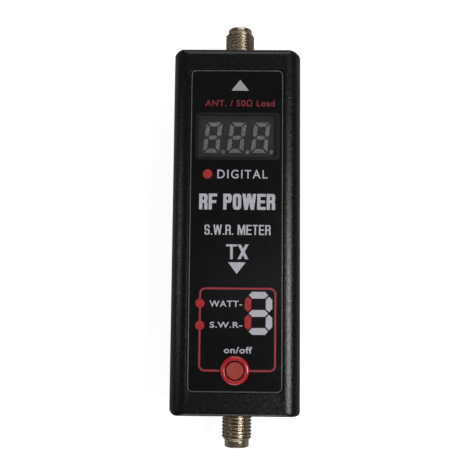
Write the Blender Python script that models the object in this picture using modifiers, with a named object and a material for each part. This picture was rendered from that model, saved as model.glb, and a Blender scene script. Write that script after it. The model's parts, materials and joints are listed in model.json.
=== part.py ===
"""In-line SWR and power meter: a small two-shell plastic case with an SMA jack at each end.

Frame: the meter lies on its back. +X is its right side, +Y points to the antenna jack, +Z comes
out of the front. The origin is under the centre of the case, on the surface that it lies on.
"""

import math

import bmesh
import bpy
from mathutils import Matrix, Vector

MM = 0.001
GAP = 0.05 * MM            # clearance between two faces that touch on the real object

# ---- case -------------------------------------------------------------------------------------
CASE_WIDTH = 26.4 * MM
CASE_LENGTH = 75.0 * MM
CASE_DEPTH = 21.0 * MM
WALL = 1.6 * MM
PARTING_Z = CASE_DEPTH / 2
CORNER_RADIUS = 1.4 * MM       # vertical corners, seen from the front
SHOULDER_RADIUS = 3.0 * MM     # long front edges
END_EDGE_RADIUS = 0.9 * MM     # short front edges
BACK_EDGE_RADIUS = 1.2 * MM
FRONT_WALL = 2.0 * MM
LIP_HEIGHT = 1.2 * MM          # the rear shell's lip inside the front shell
LIP_THICKNESS = 0.7 * MM
INNER_SHOULDER = 1.4 * MM      # slope between the front wall and the long side walls, inside
OVERSHOOT = 1.0 * MM           # how far a cutter reaches past the face that it cuts
SINK = 0.4 * MM                # how far a boss or rib runs into the wall that it grows from
HALF_WIDTH = CASE_WIDTH / 2
HALF_LENGTH = CASE_LENGTH / 2
INNER_FRONT_Z = CASE_DEPTH - FRONT_WALL
INNER_END_Y = HALF_LENGTH - WALL

# ---- front overlay and window -----------------------------------------------------------------
OVERLAY_WIDTH = 18.9 * MM
OVERLAY_LENGTH = 65.5 * MM
OVERLAY_THICKNESS = 0.3 * MM
OVERLAY_RADIUS = 1.0 * MM
OVERLAY_MARGIN = 0.25 * MM     # gap all round between the overlay and its recess
RECESS_DEPTH = 0.5 * MM
RECESS_FLOOR_Z = CASE_DEPTH - RECESS_DEPTH
DISPLAY_Y = 19.0 * MM
WINDOW_WIDTH = 16.4 * MM
WINDOW_HEIGHT = 9.2 * MM
WINDOW_RADIUS = 0.8 * MM
WINDOW_FIT = 0.1 * MM
WINDOW_EDGE = 0.12 * MM
WINDOW_TO_DISPLAY = 0.1 * MM

# ---- rear label -------------------------------------------------------------------------------
REAR_LABEL_SIZE = (17.0 * MM, 46.0 * MM, 0.2 * MM)
REAR_LABEL_RADIUS = 1.0 * MM
REAR_RECESS_DEPTH = 0.35 * MM

# ---- case screws ------------------------------------------------------------------------------
SCREW_X = 10.0 * MM
SCREW_Y = 33.2 * MM
BOSS_RADIUS = 2.3 * MM
BOSS_BORE_RADIUS = 1.15 * MM
PILOT_DEPTH = 6.2 * MM
SCREW_SHANK_RADIUS = 1.05 * MM
SCREW_POINT = (0.35 * MM, 1.2 * MM)        # radius of the tip, length of the taper
SCREW_CROSS = (2.2 * MM, 0.5 * MM, 0.8 * MM)   # span, width and depth of the cross recess
SCREW_HEAD_RADIUS = 1.85 * MM
SCREW_HEAD_HEIGHT = 1.3 * MM
SCREW_LENGTH = 11.0 * MM
COUNTERBORE_RADIUS = 2.0 * MM
COUNTERBORE_DEPTH = 5.0 * MM
REAR_BOSS_EXTRA = 0.5 * MM     # the rear bosses are this much wider round the counterbores
REAR_BOSS_STEP = 1.5 * MM      # and narrow again this far above their seats
RIB_WIDTH = 3.6 * MM
RIB_THICKNESS = 0.9 * MM
RIB_OFFSET = 0.6 * MM          # from a jack's base to the middle of the rib behind it

# ---- SMA jacks --------------------------------------------------------------------------------
JACK_X = 0.4 * MM              # the jacks sit a little right of the case's centre
JACK_Z = PARTING_Z
JACK_TIP_Y = 45.2 * MM
THREAD_MAJOR = 3.12 * MM       # 1/4-36 UNS crest radius
THREAD_MINOR = 2.72 * MM
THREAD_PITCH = 25.4 * MM / 36
THREAD_START_Y = 37.3 * MM
THREAD_END_Y = 43.85 * MM
TIP_RADIUS = 2.56 * MM
MOUTH_RADIUS = 2.25 * MM
MOUTH_DEPTH = 1.95 * MM
DIELECTRIC_RADIUS = 2.05 * MM
CONTACT_RADIUS = 0.635 * MM
CONTACT_BORE = 0.47 * MM
BARREL_HOLE_RADIUS = 3.3 * MM
BASE_SIDE = 6.35 * MM
BASE_THICKNESS = 1.6 * MM
BASE_OUTER_Y = INNER_END_Y - 0.1 * MM
BASE_INNER_Y = BASE_OUTER_Y - BASE_THICKNESS
LEG_LENGTH = 3.0 * MM
LEG_SIDE = 0.95 * MM
LOW_LEG_SHARE = 0.72           # the lower legs are thinner by this share
SLIDE_FIT = 0.03 * MM          # dielectric in the barrel, contact in the dielectric
CONTACT_BORE_DEPTH = 2.8 * MM
CONTACT_TAIL = 3.6 * MM

# ---- RF board ---------------------------------------------------------------------------------
RF_TOP_Z = 9.7 * MM
RF_THICKNESS = 1.6 * MM
RF_WIDTH = 15.0 * MM
RF_HALF_LENGTH = BASE_INNER_Y - 0.1 * MM
COPPER = 0.06 * MM
LINE_WIDTH = 2.8 * MM
COUPLED_WIDTH = 0.8 * MM
COUPLED_SPACING = 2.5 * MM
COUPLED_HALF_LENGTH = 12.0 * MM
COUPLED_REACH = 2.4 * MM       # how far a coupled line's ends turn outwards
DIODE_SIZE = (1.3 * MM, 2.9 * MM, 1.0 * MM)
TERMINATOR_SIZE = (1.25 * MM, 2.0 * MM, 0.5 * MM)
LOAD_OFFSET = 1.9 * MM         # diodes and terminators sit this far outside a coupled line
CAN_SIZE = (13.6 * MM, 40.0 * MM, 2.1 * MM)
CAN_WALL = 0.3 * MM
CAN_ARCH = 1.0 * MM
LINK_PINS = 4
LINK_PITCH = 2.0 * MM
LINK_Y = -26.0 * MM
LINK_BODY = (2.0 * MM, 1.4 * MM)   # width and height
LINK_PIN = 0.5 * MM

# ---- main board and what stands on it ---------------------------------------------------------
MAIN_TOP_Z = 13.6 * MM
MAIN_THICKNESS = 1.2 * MM
MAIN_BOTTOM_Z = MAIN_TOP_Z - MAIN_THICKNESS
MAIN_HALF_WIDTH = 11.2 * MM
MAIN_HALF_LENGTH = 32.9 * MM
MAIN_NECK_HALF_WIDTH = 7.4 * MM    # between the screw bosses
MAIN_NECK_Y = 30.4 * MM
POST_X = 9.0 * MM
POST_Y = 4.0 * MM
POST_RADIUS = 1.8 * MM
BOARD_SCREW_RADIUS = 0.75 * MM
BOARD_SCREW_BORE = 0.85 * MM
BOARD_SCREW_HEAD = (1.4 * MM, 0.8 * MM)    # radius and height
BOARD_SCREW_ABOVE = 3.2 * MM               # how far the tip stands above the board
BOARD_SCREW_CROSS = (1.5 * MM, 0.35 * MM, 0.45 * MM)

# name, size, foot on the board, leads in a row, lead pitch
CHIPS = (
    ("controller_chip", (4.4 * MM, 6.5 * MM, 1.0 * MM), (2.5 * MM, 4.5 * MM), 10, 0.65 * MM),
    ("driver_chip", (3.9 * MM, 9.9 * MM, 1.4 * MM), (-3.5 * MM, 3.0 * MM), 8, 1.27 * MM),
    ("charger_chip", (3.9 * MM, 4.9 * MM, 1.4 * MM), (0, -13.0 * MM), 4, 1.27 * MM),
)
LEAD_HEIGHT = 0.45 * MM
LEAD_SPAN = 1.0 * MM
CHIP_STANDOFF = 0.1 * MM

DISPLAY_SIZE = (15.9 * MM, 8.8 * MM, 6.6 * MM)
DIGIT_PITCH = 4.95 * MM
DIGIT_HALF_WIDTH = 1.7 * MM
DIGIT_HALF_HEIGHT = 3.2 * MM
SEGMENT = 0.85 * MM                # width of a segment
SEGMENT_GAP = 0.13 * MM
DIGIT_SLANT = math.radians(7.0)
POINT_RADIUS = 0.45 * MM
DISPLAY_PINS = 6
PIN_PITCH = 2.54 * MM
PIN_ROW_Y = 3.2 * MM
PIN_SIZE = (0.5 * MM, 0.26 * MM)
PIN_BELOW_BOARD = 0.5 * MM
DIGIT_SHIFT = -0.25 * MM           # the digits sit a little left of the middle
POINT_OFFSET = (0.62 * MM, 0.2 * MM)   # a point's place from its digit's lower right corner
RESIN_DEPTH = 1.6 * MM
RESIN_ROOM_MARGIN = (1.2 * MM, 1.0 * MM)

BUTTON_Y = -28.4 * MM
CAP_RADIUS = 1.73 * MM
CAP_TOP_Z = 21.85 * MM
BEZEL_BORE = 1.97 * MM
BEZEL_SLEEVE = 2.45 * MM
BEZEL_RADIUS = 2.87 * MM
BEZEL_TOP_Z = 21.75 * MM
BEZEL_LOW_Z = INNER_FRONT_Z - 0.45 * MM
CAP_FLANGE = (2.3 * MM, 0.5 * MM)      # radius and thickness of the flange that holds the cap in
CAP_STEM_RADIUS = 1.5 * MM

SWITCH_SIDE = 6.2 * MM
SWITCH_TOP_Z = 16.6 * MM
SWITCH_STANDOFF = 0.25 * MM
SWITCH_FLOOR = 0.9 * MM
SWITCH_WELL_RADIUS = 2.4 * MM
COVER_THICKNESS = 0.25 * MM
COVER_HOLE_RADIUS = 1.8 * MM
DOME_RADIUS = 2.2 * MM
DOME_HEIGHT = 0.6 * MM
DOME_SHEET = 0.14 * MM
PLUNGER_TOP_Z = 17.5 * MM
PLUNGER_RADIUS = 1.7 * MM
PLUNGER_FLANGE_RADIUS = 2.25 * MM
PLUNGER_NUB_RADIUS = 0.8 * MM
PLUNGER_FLANGE_ABOVE_DOME = 0.4 * MM
TERMINAL_SIZE = (1.0 * MM, 8.6 * MM, 0.16 * MM)
TERMINAL_X = 2.2 * MM

USB_Y = -12.0 * MM
USB_SIZE = (5.3 * MM, 7.4 * MM, 2.6 * MM)
USB_MOUTH_X = -(HALF_WIDTH - 0.6 * MM)
USB_SHEET = 0.3 * MM
USB_RADIUS = 0.7 * MM
USB_FIT = 0.25 * MM            # gap all round between the socket and the hole in the case
USB_TONGUE = (3.9 * MM, 3.8 * MM, 0.7 * MM)
USB_TONGUE_RISE = 0.25 * MM

# ---- battery ----------------------------------------------------------------------------------
BATTERY_SIZE = (20.0 * MM, 30.0 * MM, 4.0 * MM)
BATTERY_BOTTOM_Z = 2.15 * MM
BATTERY_EDGE = 0.6 * MM
BATTERY_RIB = (16.0 * MM, 1.0 * MM, 3.4 * MM)
BATTERY_RIB_OFFSET = 1.4 * MM
PAD_SIZE = (14.0 * MM, 24.0 * MM)
GUARD_SIZE = (16.0 * MM, 2.4 * MM, 0.8 * MM)
GUARD_OFFSET = 3.3 * MM        # from the cell's end to the middle of the guard board
GUARD_RISE = 1.1 * MM
SOCKET_SIZE = (2.6 * MM, 3.4 * MM, 1.9 * MM)
SOCKET_PLACE = (9.5 * MM, 25.6 * MM)
LEAD_RADIUS = 0.45 * MM
LEAD_SPACING = 1.2 * MM

ROUND = 24                     # sides of a turned piece
BARREL_ROUND = 20
SMALL_ROUND = 16
THREAD_ROWS = 3                # rings of points to one pitch of thread


# ---- helpers ----------------------------------------------------------------------------------

def new_collection(name, hidden=False):
    collection = bpy.data.collections.new(name)
    bpy.context.scene.collection.children.link(collection)
    collection.hide_render = hidden
    return collection


def clear_scene():
    for obj in list(bpy.data.objects):
        bpy.data.objects.remove(obj)


def material(name, colour, roughness, metallic=0.0, alpha=1.0):
    made = bpy.data.materials.new(name)
    made.use_nodes = True
    shader = made.node_tree.nodes["Principled BSDF"]
    shader.inputs["Base Color"].default_value = (*colour, 1.0)
    shader.inputs["Roughness"].default_value = roughness
    shader.inputs["Metallic"].default_value = metallic
    shader.inputs["Alpha"].default_value = alpha
    return made


def add_object(name, mesh, finish=None):
    """Puts a mesh or curve in the meter's collection, or in the cutters' one where it has no finish."""
    obj = bpy.data.objects.new(name, mesh)
    if finish is None:
        CUTTERS.objects.link(obj)
        obj.hide_render = True
        obj.display_type = "WIRE"
    else:
        METER.objects.link(obj)
        own = finish.copy()
        own.name = f"{name}_{finish.name}"
        mesh.materials.append(own)
    return obj


def mesh_from(name, shape):
    """A mesh from a bmesh, with its normals facing out."""
    bmesh.ops.recalc_face_normals(shape, faces=shape.faces)
    mesh = bpy.data.meshes.new(name)
    shape.to_mesh(mesh)
    shape.free()
    return mesh


def box(name, size, centre, finish=None):
    shape = bmesh.new()
    bmesh.ops.create_cube(shape, size=1.0)
    bmesh.ops.scale(shape, vec=Vector(size), verts=shape.verts)
    bmesh.ops.translate(shape, vec=Vector(centre), verts=shape.verts)
    return add_object(name, mesh_from(name, shape), finish)


def cylinder(name, radius, low, high, finish=None, sides=ROUND):
    """A cylinder from point low to point high."""
    low, high = Vector(low), Vector(high)
    along = high - low
    shape = bmesh.new()
    bmesh.ops.create_cone(
        shape, cap_ends=True, segments=sides, radius1=radius, radius2=radius, depth=along.length,
    )
    turn = along.to_track_quat("Z", "Y").to_matrix().to_4x4()
    bmesh.ops.transform(shape, matrix=Matrix.Translation((low + high) / 2) @ turn, verts=shape.verts)
    return add_object(name, shaded_round(mesh_from(name, shape)), finish)


def plate(name, outline, low, high, finish=None, along_x=False):
    """A flat outline of (x, y) points, raised from z = low to high. Along X, its points are (y, z)."""
    shape = bmesh.new()
    face = shape.faces.new([shape.verts.new((x, y, low)) for x, y in outline])
    made = bmesh.ops.extrude_face_region(shape, geom=[face])["geom"]
    raised = [item for item in made if isinstance(item, bmesh.types.BMVert)]
    bmesh.ops.translate(shape, vec=(0, 0, high - low), verts=raised)
    if along_x:
        turn = Matrix(((0, 0, 1), (1, 0, 0), (0, 1, 0)))
        bmesh.ops.rotate(shape, cent=(0, 0, 0), matrix=turn, verts=shape.verts)
    return add_object(name, mesh_from(name, shape), finish)


def turned(name, profile, origin, axis, finish=None, sides=ROUND):
    """A turned piece: a profile of (radius, distance along axis) points goes round a Screw.

    The profile closes on itself, unless both of its ends are on the axis.
    """
    mesh = bpy.data.meshes.new(name)
    count = len(profile)
    closed = 0 if profile[0][0] == 0 and profile[-1][0] == 0 else 1
    edges = [(i, (i + 1) % count) for i in range(count - 1 + closed)]
    mesh.from_pydata([(r, 0, z) for r, z in profile], edges, [])
    obj = add_object(name, mesh, finish)
    screw = obj.modifiers.new("turn", "SCREW")
    screw.axis = "Z"
    screw.steps = screw.render_steps = sides
    screw.use_merge_vertices = True
    screw.merge_threshold = 0.00001
    screw.use_smooth_shade = False
    obj.location = origin
    return frozen(obj, Vector(axis).to_track_quat("Z", "Y").to_matrix())


def frozen(obj, turn):
    """Applies an object's modifiers and turns its points about its origin."""
    bpy.context.view_layer.update()
    graph = bpy.context.evaluated_depsgraph_get()
    mesh = bpy.data.meshes.new_from_object(obj.evaluated_get(graph), depsgraph=graph)
    obj.modifiers.clear()
    shape = bmesh.new()
    shape.from_mesh(mesh)
    bmesh.ops.rotate(shape, cent=(0, 0, 0), matrix=turn, verts=shape.verts)
    bmesh.ops.remove_doubles(shape, verts=shape.verts, dist=0.000001)
    bmesh.ops.recalc_face_normals(shape, faces=shape.faces)
    shape.to_mesh(mesh)
    shape.free()
    obj.data = shaded_round(mesh)
    return obj


def shaded_round(mesh):
    mesh.shade_smooth()
    mesh.set_sharp_from_angle(angle=math.radians(35))
    return mesh


def boolean(obj, other, operation):
    step = obj.modifiers.new(operation.lower(), "BOOLEAN")
    step.operation = operation
    step.object = other
    step.solver = "EXACT"


def cut(obj, *cutters):
    for cutter in cutters:
        boolean(obj, cutter, "DIFFERENCE")
    return obj


def join(obj, *others):
    for other in others:
        boolean(obj, other, "UNION")
    return obj


def soften(obj, width, segments=1):
    bevel = obj.modifiers.new("edges", "BEVEL")
    bevel.width = width
    bevel.segments = segments
    bevel.limit_method = "ANGLE"
    bevel.angle_limit = math.radians(40)
    bevel.harden_normals = False
    return obj


def rounded_outline(half_x, half_y, radius_x, radius_y=None, steps=4, centre=(0.0, 0.0)):
    """A rectangle's outline with elliptical corners, anticlockwise."""
    radius_y = radius_x if radius_y is None else radius_y
    points = []
    for quarter, (sx, sy) in enumerate([(1, 1), (-1, 1), (-1, -1), (1, -1)]):
        for step in range(steps + 1):
            angle = math.pi / 2 * (quarter + step / steps)
            points.append((
                centre[0] + sx * (half_x - radius_x) + radius_x * math.cos(angle),
                centre[1] + sy * (half_y - radius_y) + radius_y * math.sin(angle),
            ))
    return points


# ---- case shells ------------------------------------------------------------------------------

def edge_inset(depth, radius):
    """How far a rounded edge of this radius has drawn in, at a depth below the face that it ends in."""
    if depth >= radius:
        return 0.0
    return radius - math.sqrt(radius ** 2 - (radius - depth) ** 2)


def case_section(z, inset_x, inset_y, steps=4):
    """The case's outline at height z, drawn in from its widest by the two insets."""
    least = 0.5 * MM
    outline = rounded_outline(
        HALF_WIDTH - inset_x, HALF_LENGTH - inset_y,
        max(CORNER_RADIUS - inset_x, least), max(CORNER_RADIUS - inset_y, least), steps,
    )
    return [(x, y, z) for x, y in outline]


def loft(name, sections, finish):
    """A closed body through the sections in order, capped at the first and the last."""
    shape = bmesh.new()
    rings = [[shape.verts.new(point) for point in section] for section in sections]
    count = len(rings[0])
    for lower, upper in zip(rings, rings[1:]):
        for i in range(count):
            j = (i + 1) % count
            shape.faces.new((lower[i], lower[j], upper[j], upper[i]))
    shape.faces.new(rings[0])
    shape.faces.new(rings[-1])
    return add_object(name, shaded_round(mesh_from(name, shape)), finish)


def front_shell_blank():
    """Outside from the front face down to the parting plane, then inside back up to the front wall."""
    depths = [0, 0.06 * MM, 0.25 * MM, 0.55 * MM, END_EDGE_RADIUS, 1.6 * MM, 2.3 * MM, SHOULDER_RADIUS]
    sections = [
        case_section(CASE_DEPTH - d, edge_inset(d, SHOULDER_RADIUS), edge_inset(d, END_EDGE_RADIUS))
        for d in depths
    ]
    bottom = PARTING_Z + GAP
    rebate = WALL - LIP_THICKNESS - GAP
    rebate_top = PARTING_Z + LIP_HEIGHT + 2 * GAP
    sections.append(case_section(bottom, 0, 0))
    sections.append(case_section(bottom, rebate, rebate))
    sections.append(case_section(rebate_top, rebate, rebate))
    sections.append(case_section(rebate_top, WALL, WALL))
    sections.append(case_section(INNER_FRONT_Z - INNER_SHOULDER, WALL, WALL))
    sections.append(case_section(INNER_FRONT_Z, WALL + INNER_SHOULDER, WALL))
    return loft("front_shell", sections, PLASTIC)


def rear_shell_blank():
    """Outside from the back face up to the parting plane and the lip, then inside down to the back wall."""
    depths = [0, 0.15 * MM, 0.5 * MM, BACK_EDGE_RADIUS]
    sections = [
        case_section(d, edge_inset(d, BACK_EDGE_RADIUS), edge_inset(d, BACK_EDGE_RADIUS)) for d in depths
    ]
    top = PARTING_Z - GAP
    lip_outside = WALL - LIP_THICKNESS + GAP
    lip_top = PARTING_Z + LIP_HEIGHT
    sections.append(case_section(top, 0, 0))
    sections.append(case_section(top, lip_outside, lip_outside))
    sections.append(case_section(lip_top, lip_outside, lip_outside))
    sections.append(case_section(lip_top, WALL, WALL))
    sections.append(case_section(WALL, WALL, WALL))
    return loft("rear_shell", sections, PLASTIC)


def screw_places():
    return [(sx * SCREW_X, sy * SCREW_Y) for sx in (-1, 1) for sy in (-1, 1)]


def jack_hole():
    reach = HALF_LENGTH + 2 * MM
    return cylinder("jack_hole", BARREL_HOLE_RADIUS, (JACK_X, -reach, JACK_Z), (JACK_X, reach, JACK_Z))


def usb_hole():
    middle = (USB_Y, MAIN_TOP_Z + GAP + USB_SIZE[2] / 2)
    half_y, half_z = USB_SIZE[1] / 2 + USB_FIT, USB_SIZE[2] / 2 + USB_FIT
    outline = rounded_outline(half_y, half_z, USB_RADIUS + USB_FIT, centre=middle)
    return plate("usb_hole", outline, -HALF_WIDTH - OVERSHOOT, -HALF_WIDTH + 2 * WALL, along_x=True)


def make_front_shell(hole):
    shell = front_shell_blank()
    for i, (x, y) in enumerate(screw_places()):
        foot = (x, y, PARTING_Z + LIP_HEIGHT + SINK)
        head = (x, y, INNER_FRONT_Z + SINK)
        join(shell, cylinder(f"front_boss_{i}", BOSS_RADIUS, foot, head, sides=SMALL_ROUND))
    for i, (x, y) in enumerate(post_places()):
        foot = (x, y, MAIN_TOP_Z + GAP)
        head = (x, y, INNER_FRONT_Z + SINK)
        join(shell, cylinder(f"board_post_{i}", POST_RADIUS, foot, head, sides=SMALL_ROUND))
    rib_low = MAIN_BOTTOM_Z + 4 * GAP
    for i, y in enumerate(rib_places()):
        size = (RIB_WIDTH, RIB_THICKNESS, INNER_FRONT_Z + SINK - rib_low)
        join(shell, box(f"front_rib_{i}", size, (JACK_X, y, rib_low + size[2] / 2)))
    half_x, half_y = OVERLAY_WIDTH / 2 + OVERLAY_MARGIN, OVERLAY_LENGTH / 2 + OVERLAY_MARGIN
    recess = rounded_outline(half_x, half_y, OVERLAY_RADIUS + OVERLAY_MARGIN)
    below, above = INNER_FRONT_Z - OVERSHOOT, CASE_DEPTH + OVERSHOOT
    cut(
        shell, hole, usb_hole(),
        plate("overlay_recess", recess, RECESS_FLOOR_Z, above),
        plate("window_hole", window_outline(), below, above),
        cylinder("button_hole", BEZEL_SLEEVE + 2 * GAP, (0, BUTTON_Y, below), (0, BUTTON_Y, above)),
    )
    for i, (x, y) in enumerate(screw_places()):
        top = (x, y, PARTING_Z + PILOT_DEPTH)
        cut(shell, cylinder(f"pilot_{i}", BOSS_BORE_RADIUS, (x, y, PARTING_Z), top, sides=SMALL_ROUND))
    for i, (x, y) in enumerate(post_places()):
        top = (x, y, MAIN_TOP_Z + BOARD_SCREW_ABOVE + SINK)
        low = (x, y, MAIN_BOTTOM_Z)
        cut(shell, cylinder(f"post_pilot_{i}", BOARD_SCREW_BORE, low, top, sides=SMALL_ROUND))
    return shell


def post_places():
    return [(-POST_X, -POST_Y), (POST_X, POST_Y)]


def rib_places():
    """The ribs behind the jacks' bases, which take the pull of a cable."""
    return [side * (BASE_INNER_Y - RIB_OFFSET) for side in (-1, 1)]


def window_outline(fit=0.0):
    half_x, half_y = WINDOW_WIDTH / 2 - fit, WINDOW_HEIGHT / 2 - fit
    return rounded_outline(half_x, half_y, WINDOW_RADIUS - fit, centre=(0, DISPLAY_Y))


def make_rear_shell(hole):
    shell = rear_shell_blank()
    root = WALL - 2 * SINK
    wide_top = COUNTERBORE_DEPTH + REAR_BOSS_STEP
    narrow_top = PARTING_Z + LIP_HEIGHT - 4 * GAP
    wide, narrow = BOSS_RADIUS + REAR_BOSS_EXTRA, BOSS_RADIUS - 3 * GAP
    for i, (x, y) in enumerate(screw_places()):
        foot, step, top = (x, y, root), (x, y, wide_top), (x, y, narrow_top)
        inside = (x, y, wide_top - OVERSHOOT)
        join(
            shell,
            cylinder(f"rear_boss_{i}", wide, foot, step, sides=SMALL_ROUND),
            cylinder(f"rear_boss_top_{i}", narrow, inside, top, sides=SMALL_ROUND),
        )
    for i, y in enumerate(rib_places()):
        size = (RIB_WIDTH, RIB_THICKNESS, RF_TOP_Z - RF_THICKNESS - GAP - root)
        join(shell, box(f"rear_rib_{i}", size, (JACK_X, y, root + size[2] / 2)))
    for i, side in enumerate((-1, 1)):
        y = side * (BATTERY_SIZE[1] / 2 + BATTERY_RIB_OFFSET)
        join(shell, box(f"battery_rib_{i}", BATTERY_RIB, (0, y, root + BATTERY_RIB[2] / 2)))
    label_x, label_y, _ = REAR_LABEL_SIZE
    recess = rounded_outline(
        label_x / 2 + OVERLAY_MARGIN, label_y / 2 + OVERLAY_MARGIN, REAR_LABEL_RADIUS + OVERLAY_MARGIN,
    )
    cut(shell, hole, plate("rear_recess", recess, -OVERSHOOT, REAR_RECESS_DEPTH))
    for i, (x, y) in enumerate(screw_places()):
        low, top, seat = (x, y, -OVERSHOOT), (x, y, narrow_top + OVERSHOOT), (x, y, COUNTERBORE_DEPTH)
        cut(
            shell,
            cylinder(f"screw_hole_{i}", BOSS_BORE_RADIUS, low, top, sides=SMALL_ROUND),
            cylinder(f"counterbore_{i}", COUNTERBORE_RADIUS, low, seat),
        )
    return shell


def make_case_screws():
    """Pan-head screws that come in from the back and end in the front shell's bosses."""
    seat = COUNTERBORE_DEPTH - GAP
    for i, (x, y) in enumerate(screw_places()):
        head_low = seat - SCREW_HEAD_HEIGHT
        tip = seat + SCREW_LENGTH
        profile = [
            (0, tip), (SCREW_POINT[0], tip), (SCREW_SHANK_RADIUS, tip - SCREW_POINT[1]),
            (SCREW_SHANK_RADIUS, seat), (SCREW_HEAD_RADIUS, seat),
            (SCREW_HEAD_RADIUS, head_low + 0.4 * SCREW_HEAD_HEIGHT),
            (SCREW_HEAD_RADIUS * 0.7, head_low), (0, head_low),
        ]
        screw = turned(f"case_screw_{i + 1}", profile, (x, y, 0), (0, 0, 1), STEEL, SMALL_ROUND)
        cut(screw, *cross_recess(f"case_screw_{i + 1}", (x, y, head_low), *SCREW_CROSS))


def cross_recess(name, centre, span, width, depth):
    """Two crossed slots for a Phillips driver, cut up into a head that faces down."""
    x, y, z = centre
    middle = z + (depth - OVERSHOOT) / 2
    return [
        box(f"{name}_slot_x", (span, width, depth + OVERSHOOT), (x, y, middle)),
        box(f"{name}_slot_y", (width, span, depth + OVERSHOOT), (x, y, middle)),
    ]


# ---- front overlay, window, rear label --------------------------------------------------------

def make_overlay():
    outline = rounded_outline(OVERLAY_WIDTH / 2, OVERLAY_LENGTH / 2, OVERLAY_RADIUS)
    low = RECESS_FLOOR_Z + GAP
    overlay = plate("front_overlay", outline, low, low + OVERLAY_THICKNESS, OVERLAY)
    below, above = low - OVERSHOOT, CASE_DEPTH + OVERSHOOT
    cut(
        overlay,
        plate("overlay_window", window_outline(), below, above),
        cylinder("overlay_hole", BEZEL_SLEEVE + 3 * GAP, (0, BUTTON_Y, below), (0, BUTTON_Y, above)),
    )


def make_window():
    low = MAIN_TOP_Z + GAP + DISPLAY_SIZE[2] + WINDOW_TO_DISPLAY
    top = RECESS_FLOOR_Z + GAP + OVERLAY_THICKNESS
    return soften(plate("display_window", window_outline(WINDOW_FIT), low, top, CLEAR), WINDOW_EDGE)


def make_rear_label():
    outline = rounded_outline(REAR_LABEL_SIZE[0] / 2, REAR_LABEL_SIZE[1] / 2, REAR_LABEL_RADIUS)
    high = REAR_RECESS_DEPTH - GAP
    plate("rear_label", outline, high - REAR_LABEL_SIZE[2], high, LABEL)


# ---- SMA jacks --------------------------------------------------------------------------------

def thread_rows():
    """Distances along the barrel of the rings that carry the thread."""
    step = THREAD_PITCH / THREAD_ROWS
    count = round((THREAD_END_Y - THREAD_START_Y) / step)
    return [THREAD_START_Y + (THREAD_END_Y - THREAD_START_Y) * i / count for i in range(count + 1)]


def thread_radius(distance, angle):
    """The helix: a triangle wave along the barrel that moves one pitch in a turn, faded at both ends."""
    phase = (distance / THREAD_PITCH - angle / (2 * math.pi)) % 1.0
    height = 1.0 - abs(2.0 * phase - 1.0)
    from_end = min(distance - THREAD_START_Y, THREAD_END_Y - distance)
    fade = min(1.0, max(0.0, from_end / (0.6 * THREAD_PITCH)))
    return THREAD_MINOR + (THREAD_MAJOR - THREAD_MINOR) * height * fade


def jack_barrel(name, side, finish):
    """The threaded outer conductor: a turned profile, then its thread rows follow the helix."""
    rows = thread_rows()
    profile = [
        (MOUTH_RADIUS, JACK_TIP_Y), (TIP_RADIUS - 0.08 * MM, JACK_TIP_Y),
        (TIP_RADIUS, JACK_TIP_Y - 0.12 * MM), (TIP_RADIUS, THREAD_END_Y + 0.16 * MM),
    ]
    profile += [(THREAD_MINOR, y) for y in reversed(rows)]
    profile += [
        (THREAD_MINOR, BASE_INNER_Y + 0.1 * MM), (DIELECTRIC_RADIUS, BASE_INNER_Y + 0.1 * MM),
        (DIELECTRIC_RADIUS, JACK_TIP_Y - MOUTH_DEPTH), (MOUTH_RADIUS, JACK_TIP_Y - MOUTH_DEPTH),
    ]
    barrel = turned(name, profile, (JACK_X, 0, JACK_Z), (0, side, 0), finish, BARREL_ROUND)
    for vertex in barrel.data.vertices:
        distance = side * vertex.co.y
        radial = Vector((vertex.co.x, 0, vertex.co.z))
        on_thread = THREAD_START_Y - GAP / 10 < distance < THREAD_END_Y + GAP / 10
        if on_thread and radial.length > THREAD_MINOR - GAP:
            radius = thread_radius(distance, math.atan2(radial.z, side * radial.x))
            vertex.co = radial.normalized() * radius + Vector((0, vertex.co.y, 0))
    return barrel


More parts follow.
